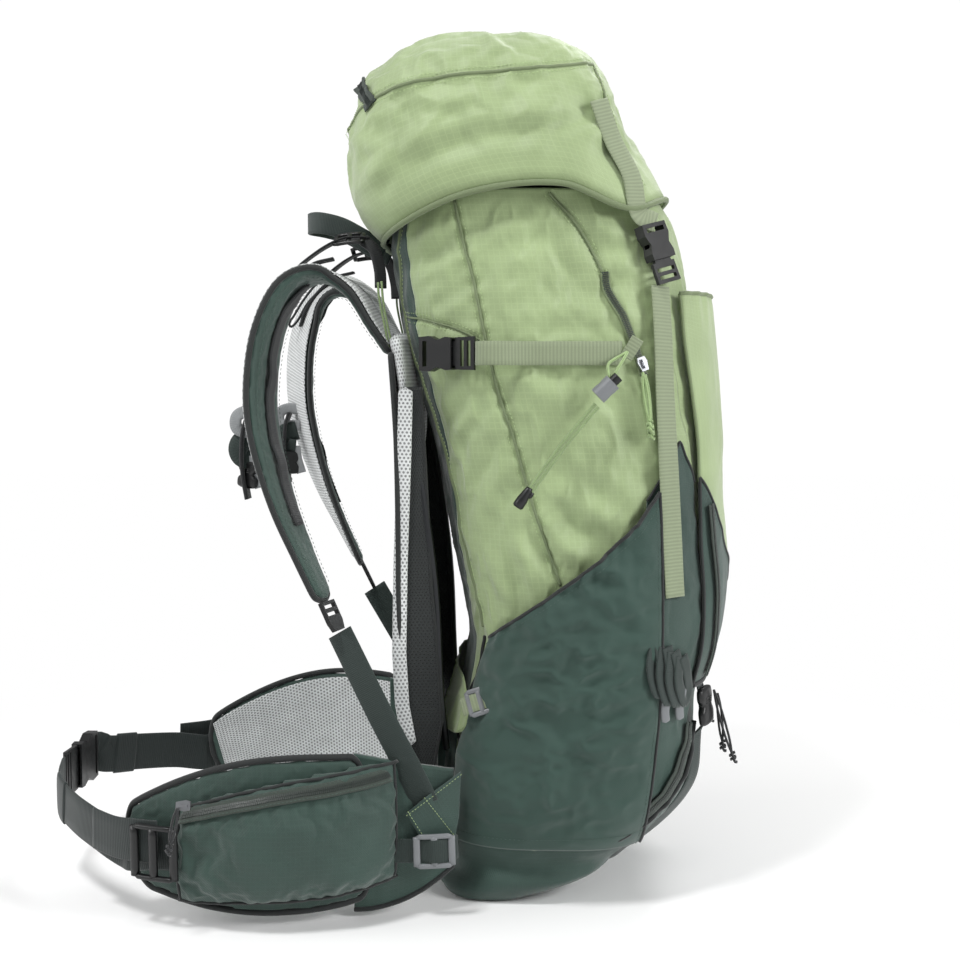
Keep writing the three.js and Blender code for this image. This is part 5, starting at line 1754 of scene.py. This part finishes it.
def clip(name, centre, along, outward, web, body, material="black_plastic"):
    """A small side-release buckle seen closed: its shell, the two springs at its waist and its bars."""
    c, a, w, o = frame_at(centre, along, outward)
    length = web * 1.75
    n = 28
    t = np.linspace(-1, 1, n)
    half = web / 2 + 0.004 - 0.0042 * np.exp(-((t - 0.05) / 0.22) ** 2) - 0.0012 * np.abs(t) ** 6
    path = [c + a * (k * length / 2) for k in t]
    shell = sweep(name + "_shell", path, o, half * 2, 0.0082 - 0.0026 * np.abs(t) ** 4, pillow(3.0, 16),
            material, round_ends=0.003)
    grooves = [sweep(f"{name}_rib{s}", [c + a * (0.30 + 0.12 * s) * length / 2 + w * k + o * 0.0038
            for k in (-web * 0.32, 0, web * 0.32)], o, 0.0012, 0.0012, ROUND, material) for s in (-1, 0, 1)]
    return settle(join(name, [shell] + grooves), body)


def patch_on_bag(name, middle, wide, tall, material, lift, side, power=3.0, turn=0.0,
        stitched="dark_thread"):
    """A flat patch sewn on the bag's side, round-cornered, with its row of stitches."""
    u, v = np.linspace(-1, 1, 30), np.linspace(-1, 1, 30)
    uu, vv = np.meshgrid(u, v)
    # Squeeze the square grid into a rounded outline.
    r = np.maximum(np.abs(uu), np.abs(vv))
    norm = (np.abs(uu) ** power + np.abs(vv) ** power) ** (1 / power)
    scale = np.where(norm > 1e-6, r / np.maximum(norm, 1e-6), 1)
    uu, vv = uu * scale, vv * scale
    c, s = math.cos(turn), math.sin(turn)
    x = middle[0] / 1000 + (uu * c - vv * s) * wide / 2000
    z = middle[1] / 1000 + (uu * s + vv * c) * tall / 2000
    angle = angle_at(x, z)
    n = bag_normal(z, angle)
    p = on_bag(z, angle)
    p = raised(p, n, crumple(p) + lift)
    settle(grid_piece(name, flip(p, side), material, wall=0.0012, normals=flip(n, side)), "pack")
    ring = np.vstack([p[1, 1:-1], p[1:-1, -2], p[-2, -2:0:-1], p[-2:0:-1, 1]])
    rn = np.vstack([n[1, 1:-1], n[1:-1, -2], n[-2, -2:0:-1], n[-2:0:-1, 1]])
    rows = [(flip(ring + rn * 0.0003, side), flip(rn, side))]
    sew(name + "_stitches", rows, FINE_STITCH, stitched, "pack")


def bag_point(x, z, lift, side):
    a = angle_at(x / 1000, z / 1000)
    n = bag_normal(z / 1000, a)
    return Vector(flip(on_bag(z / 1000, a) + n * lift, side)), Vector(flip(n, side))


def make_gusset():
    """The light half-round patch at the side pocket's rear edge, with its ladder lock and strap."""
    for word, side in SIDES:
        patch_on_bag(f"{word}_gusset_patch", (53, -163), 30, 52, "light_cloth", 0.0085, side,
                2.2, 0.30, "thread")
        p, n = bag_point(80, -154, 0.0105, side)
        along = Vector((0.93, 0, 0.30))
        ladder(f"{word}_gusset_lock", p, along, n, 0.016, 0.023, "pack", "grey_plastic")
        web = [p - along * 0.020 - n * 0.004, p - along * 0.010, p + n * 0.0012,
                p + along * 0.009 - n * 0.0006]
        settle(strap(f"{word}_gusset_web", web, n, 0.0155, "light_webbing", 0.0015, 24), "pack")
        line, _ = side_line([(62, -206), (50, -190), (56, -168), (64, -148), (72, -125), (75, -100)], 0.001,
                90, side)
        bind(f"{word}_gusset_piping", line, 0.0016, 120)


def make_hip_roots():
    """Where each hip wing leaves the lumbar pad: its cloth, the stabiliser and the harness webbing's tab."""
    for word, side in SIDES:
        columns, rows = 60, 60
        u, v = np.linspace(0, 1, columns), np.linspace(0, 1, rows)
        uu, vv = np.meshgrid(u, v)
        x = -0.034 + 0.084 * uu
        low = -0.328 + 0.034 * uu ** 2.2
        high = -0.194 - 0.016 * uu
        z = low + (high - low) * vv
        y = -0.153 + 0.015 * uu ** 1.6 - 0.004 * np.sin(np.pi * vv)
        g = np.stack([x, y, z], axis=2)
        flat = g.reshape(-1, 3)
        g[..., 1] -= (billow(flat, 22, 3, 8.0) * 0.003).reshape(y.shape)
        n = np.tile(np.array([0.0, -1, 0]), (rows, columns, 1))
        settle(grid_piece(f"{word}_hip_root", flip(g, side), "dark_cloth", wall=0.006,
                normals=flip(n, side)), "pack")
        bind(f"{word}_hip_root_edge", flip(g[0], side), 0.0022, 80)
        c = flip(point(35, -152, -274), side)
        along = Vector((1, 0.10 * side, 0.03))
        out = Vector((0, -side, 0))
        ladder(f"{word}_stabiliser_lock", Vector(c) + out * 0.0075, along, out, 0.021, 0.033, "pack",
                "grey_plastic", bar_wide=0.0060)
        c = Vector(c)
        stations = ((-0.050, 0.0006), (-0.030, 0.003), (-0.012, 0.0055), (0, 0.0095), (0.013, 0.006),
                (0.019, -0.001))
        web = [c + along * run + out * rise for run, rise in stations]
        settle(strap(f"{word}_stabiliser_web", web, out, 0.0205, "dark_webbing", 0.0016, 40), "pack")
        # The triangular tab that the harness webbing is sewn into.
        corners = on_side(((11, -157, -243), (27, -158, -229), (57, -144, -210), (55, -145, -250),
                (52, -146, -266), (22, -157, -262)), side)
        top = np.array([evenly(np.array([corners[a], corners[b]]), 16)
                for a, b in ((5, 0), (4, 1), (3, 2))])
        share = np.linspace(0, 1, 10)
        upper = [top[0] * (1 - t) + top[1] * t for t in share]
        g = np.array(upper + [top[1] * (1 - t) + top[2] * t for t in share[1:]])
        n = np.tile(np.array([0.0, -side, 0]), (*g.shape[:2], 1))
        settle(grid_piece(f"{word}_harness_tab", g, "dark_cloth", wall=0.002, normals=n), "pack")
        face = np.array([0.0, -side, 0])
        lines = [(evenly(row + face * 0.0003, count), np.tile(face, (count, 1)))
                 for row, count in ((g[:, -2], 40), (g[9], 30), (g[1], 30))]
        sew(f"{word}_harness_tab_stitches", lines, (0.003, 0.0022, 0.0006, 0.0006), "thread", "pack")


def make_back_trims():
    """The foam behind the mesh's top, and the black air mesh down both its edges."""
    z = np.linspace(0.168, 0.035, 40)
    t = np.linspace(0, 1, 40)
    front = np.interp(z, [0.035, 0.08, 0.12, 0.146, 0.168], [0.0010, -0.0005, -0.004, -0.009, -0.015])
    thick = 0.017 * (1 - t) ** 0.6 + 0.003
    path = np.stack([front + thick / 2 + 0.001, 0 * z, z], axis=1)
    piece = sweep("upper_back_pad", path, (-1, 0, 0), 0.222 * (0.92 + 0.08 * np.sin(np.pi * t)), thick,
            pillow(2.4, 36), "spacer_mesh", round_ends=0.010)
    settle(piece, "pack", ())
    for word, side in SIDES:
        z = np.linspace(0.118, -0.236, 90)
        left = np.interp(-z, [-0.117, -0.06, 0.035, 0.113, 0.160, 0.236],
                [0.008, 0.0065, 0.0030, 0.0015, 0.004, 0.018])
        right = np.interp(-z, [-0.117, -0.052, 0.060, 0.100, 0.175, 0.236],
                [0.021, 0.0245, 0.030, 0.034, 0.0385, 0.028])
        u = np.linspace(0, 1, 16)
        g = np.zeros((90, 16, 3))
        for k, s in enumerate(u):
            g[:, k] = np.stack([left + (right - left) * s, np.full(90, -0.1145) + 0.004 * s, z], axis=1)
        n = np.tile(np.array([0.0, -1, 0]), (90, 16, 1))
        settle(grid_piece(f"{word}_air_mesh", flip(g, side), "black_mesh", wall=0.0012,
                normals=flip(n, side)), "pack")
        rim = np.stack([left + 0.0002, np.full(90, -0.1165), z], axis=1)[:-10]
        roll = sweep(f"{word}_mesh_rim", flip(rim, side), (0, -side, 0), 0.0125, 0.0052, pillow(2.2, 16),
                "spacer_mesh", round_ends=0.003)
        settle(roll, "pack")
        bind(f"{word}_air_mesh_edge", flip(g[:, -1], side), 0.0013, 120)


def make_top_trims():
    """Load-lifter locks with their tabs and tails, a short daisy strap on each pad and the hanging adjuster
    loop.
    """
    for word, side in SIDES:
        body = f"{word}_shoulder"
        c = Vector(flip(point(-47, -62, 250), side))
        ladder(f"{word}_lifter_lock", c, (1, 0, 0.10), (0, -0.5 * side, 1), 0.016, 0.027, body,
                "black_plastic")
        tab = on_side(((-34, -64, 249), (-24, -66, 240), (-19, -68, 222), (-18, -70, 206)), side)
        settle(strap(f"{word}_lifter_tab", tab, (0.5, -0.8 * side, 0), 0.011, "black_webbing", 0.003, 24),
                "pack")
        loop = [(-86, -68, 229), (-98, -70, 221), (-112, -74, 205), (-122, -77, 190), (-127, -78, 183),
                (-125, -79, 179), (-118, -78, 186), (-108, -76, 202), (-96, -73, 214)]
        settle(cordlike(f"{word}_lifter_tail", on_side(loop, side), 0.0013, "black_cord", 70, 8), body)
        path = on_side(((-60, -68, 232), (-78, -69, 227), (-95, -72, 214), (-108, -76, 197),
                (-115, -80, 180)), side)
        settle(strap(f"{word}_pad_daisy", path, (-0.7, 0, 0.7), 0.013, "black_webbing", 0.0022, 50), body)
        hang = [(-16, -82, 211), (-14, -83, 190), (-8, -84, 160), (-1, -85, 132), (3, -85, 120),
                (2.5, -85, 114), (-1.5, -85, 113), (-4, -85, 118), (-7, -84, 136), (-12, -84, 166),
                (-18, -83, 196), (-19, -82, 210)]
        route = curve_through(on_side(hang, side), 60)
        piece = free_cord(f"{word}_adjuster_loop", route, 0.0011, "cord")
        settle(piece, "pack")


def make_chest_trims():
    for word, side in SIDES:
        body = f"{word}_chest"
        lo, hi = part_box(f"{word}_chest_strap")
        y = (lo[1] + hi[1]) / 2
        elastic = [Vector((x, y, z)) for x, z in ((-0.120, 0.0955), (-0.133, 0.0965), (-0.1415, 0.0925),
                                                  (-0.1425, 0.084), (-0.137, 0.0795), (-0.121, 0.079))]
        settle(strap(f"{word}_chest_elastic", elastic, (-0.2, -side, 0.2), 0.011, "grey_webbing", 0.0022,
                40), body)
        fold = [Vector((x, y, z)) for x, z in ((-0.124, 0.074), (-0.136, 0.071), (-0.1395, 0.064),
                                               (-0.136, 0.057), (-0.126, 0.055))]
        settle(strap(f"{word}_chest_fold", fold, (0, -side, 0.3), 0.020, "dark_webbing", 0.0022, 40), body)
        clip(f"{word}_chest_clip", Vector((-0.132, y, 0.041)), (0.12, 0, 1), (-0.6, -side, 0), 0.014, body)
        tail = [Vector((-0.126, y, 0.058)), Vector((-0.1245, y - 0.002 * side, 0.044)),
                Vector((-0.1205, y - 0.003 * side, 0.030))]
        settle(strap(f"{word}_chest_tail", tail, (0.2, -side, 0), 0.0105, "grey_webbing", 0.0016, 24), body)


BELT_LINE = [(0.957, 0.026, 0.296), (0.694, 0.168, 0.408), (0.378, 0.4, 0.504), (0.115, 0.666, 0.6)]


def make_belts():
    for word, side in SIDES:
        body = f"{word}_hip"
        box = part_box(f"{word}_belt_webbing")
        inner = box[1][1] if side > 0 else -box[0][1]
        points = [Vector(p) for p in in_box("left_belt_webbing", BELT_LINE)]
        centre = -0.327
        last = [Vector((centre + 0.001, inner - 0.009, -0.252)), Vector((centre, inner, -0.252))]
        lead = [Vector((-0.163, -0.181, -0.268)), Vector((-0.200, -0.1715, -0.270)),
                Vector((-0.226, -0.158, -0.276))]
        path = curve_through(lead + points + last, 120)
        out = plan_facing(path)
        piece = sweep(f"{word}_belt_cloth", flip(path, side), flip(out, side), 0.0375, 0.0019, FLAT,
                "belt_webbing")
        settle(piece, body, (f"{word}_belt_webbing",))
        c = Vector(flip(point(-197, -186, -269), side))
        along = Vector(flip(np.array([0.93, -0.34, 0.02]), side))
        outward = Vector(flip(np.array([-0.34, -0.94, 0]), side))
        ladder(f"{word}_belt_glide", c, along, outward, 0.0385, 0.042, body, "black_plastic",
                3, 0.0056, 0.0078)
        sleeve = path[88:104]
        settle(sweep(f"{word}_belt_sleeve", flip(sleeve + out[88:104] * 0.0002, side),
                flip(out[88:104], side), 0.0410, 0.0050, pillow(3.2, 18), "belt_webbing", round_ends=0.002),
                body)
        tail = curve_through(on_side(((-196, -180, -262), (-214, -176, -262), (-236, -163, -264),
                (-262, -143, -263)), side), 50)
        settle(sweep(f"{word}_belt_tail", tail, flip(plan_facing(flip(tail, side)), side), 0.0365, 0.0018,
                FLAT, "belt_webbing"), body)


def make_lower_front():
    """The rolled straps, their grey tabs, the buckle and the knotted pulls under the front pocket."""
    for word, side in SIDES:
        loops = []
        rolls = ((222, -98, 40), (229, -102, 44), (236, -107, 42), (243, -112, 38))
        for k, (x, top, drop) in enumerate(rolls):
            places = [(x - 2, top, 4), (x - 6, top - drop * 0.5, 9), (x - 1, top - drop, 9),
                    (x + 4, top - drop * 0.8, 7), (x + 3, top - drop * 0.35, 6), (x + 1, top, 4)]
            path = curve_through([bag_point(px, pz, lift / 1000, side)[0] for px, pz, lift in places], 40)
            loops.append(sweep(f"{word}_roll_{k}", path, flip(np.array([0.8, -0.7, 0]), side),
                    0.0150 - 0.001 * k, 0.0018, FLAT, "dark_webbing"))
        settle(join(f"{word}_strap_rolls", loops), "pack")
        tabs = []
        for k, x in enumerate((228, 240)):
            path = curve_through([bag_point(px, pz, 0.0075, side)[0]
                    for px, pz in ((x + 2, -138), (x, -148), (x - 1, -158), (x, -168))], 24)
            tabs.append(sweep(f"{word}_tab_{k}", path, flip(np.array([0.35, -1, 0.1]), side), 0.0080,
                    0.0026, pillow(2.4, 12), "grey_plastic", round_ends=0.003))
        settle(join(f"{word}_strap_tabs", tabs), "pack")
        clip(f"{word}_bottom_clip", Vector(flip(point(272, -84, -165), side)), (-0.10, 0, 1),
                (1, -0.5 * side, 0), 0.020, "pack")
        z = np.linspace(-0.192, -0.316, 30)
        band = [flip(p, side) for p in on_bag(z, np.radians(-33), 0.0048)]
        band = [Vector(flip(point(272, -84, -181), side))] + [Vector(p) for p in band]
        node_line = curve_through(band, 60)
        settle(sweep(f"{word}_bottom_strap_cloth", node_line, flip(np.array([1.0, -0.7, -0.2]), side),
                SMALL_WEB, WEB_THICK, FLAT, "dark_webbing"), "pack",
                (f"{word}_bottom_strap",))
        up = on_side(((268, -84, -146), (266, -86, -136), (264, -88, -126)), side)
        settle(strap(f"{word}_bottom_strap_top", up, (1, -0.5 * side, 0), 0.0195, "dark_webbing", 0.0017,
                16), "pack")
        arc = [(252, -176), (247, -200), (238, -222), (226, -240), (205, -258), (178, -272)]
        line, out = side_line(arc, 0.0052, 90, side)
        zipper(f"{word}_bottom_zip", line, out, "pack", 0.014)
        fold, _ = side_line([(x + 7, z - 3) for x, z in arc], 0.0050, 90, side)
        bind(f"{word}_bottom_zip_piping", fold, 0.0022, 120)
        for k, (x, y, z, lean, size) in enumerate(((280, -80, -152, (0.30, 0.1, -1), 0.062),
                (284, -76, -156, (0.12, 0.1, -1), 0.046))):
            pull(f"{word}_bottom_pull_{k}", Vector(flip(point(x, y, z), side)), size, "pack", "black_cord",
                    flip(np.array(lean), side))


def make_side_zips():
    for word, side in SIDES:
        lo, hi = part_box(f"{word}_side_zip_slider")
        line, out = side_line([(178, 214), (181, 200), (192, 178), (205, 150), (210, 128)], 0.0022, 80,
                side)
        zipper(f"{word}_side_zip", line, out, "pack", 0.0085, tape="piping")
        start = Vector(((lo[0] + hi[0]) / 2, lo[1] if side > 0 else hi[1], lo[2]))
        pull(f"{word}_side_zip_pull", start, 0.042, f"{word}_side_slider", "cord",
                Vector((0.14, -0.05 * side, -1)))
        other = Vector(line[-1]) + Vector(out[-1]) * 0.003
        pull(f"{word}_side_zip_pull_low", other, 0.046, "pack", "cord", Vector((0.10, -0.05 * side, -1)))


def make_cord_trims():
    """The second strand of each side cord, and the loops from its lock to the sewn anchor."""
    for word, side in SIDES:
        second = curve_through([flip(point(x + 2.6, y - 0.4, z - 2.6), side) for x, y, z in CORD_TAIL], 40)
        piece = free_cord(f"{word}_cord_strand", second, 0.0015, "cord")
        settle(piece, "pack")
        places = [Vector(second[-1]) + Vector((-0.0012, 0, -0.0014)) * k for k in (-1.5, -0.5, 0.5, 1.5)]
        stop = cord_cap(f"{word}_cord_stop", places, [0.0034, 0.0046, 0.0046, 0.0034])
        loops = []
        for k, (dx, dz) in enumerate(((-7, 14), (4, 16))):
            path = [(183 + dx * 0.25, -155, 124), (184 + dx * 0.6, -152, 131), (188 + dx, -148, 124 + dz),
                    (196, -142.5, 147)]
            loops.append(cordlike(f"{word}_cord_loop_{k}", on_side(path, side), 0.0014, "cord", 40, 8))
        settle(join(f"{word}_cord_loops", loops), "pack")
        p, n = bag_point(198, 148, 0.004, side)
        settle(strap(f"{word}_cord_anchor",
                [p + Vector((-0.004, 0, -0.006)), p, p + Vector((0.006, 0, 0.010))], n, 0.011,
                "light_webbing", 0.0018, 16), "pack")


make_camera()
MATERIALS = make_materials()
make_studio()
make_side_cords()
make_bag()
make_side_seams()
make_side_pockets()
make_front_dark(make_front_pocket())
make_lid_straps(make_lid())
make_straps()
make_back()
make_lumbar()
make_haul_loop()
make_shoulder_pads()
make_chest()
make_hip_wings()
make_hip_roots()
make_belts()
make_gusset()
make_back_trims()
make_top_trims()
make_chest_trims()
make_lower_front()
make_side_zips()
make_cord_trims()
shared_finish()
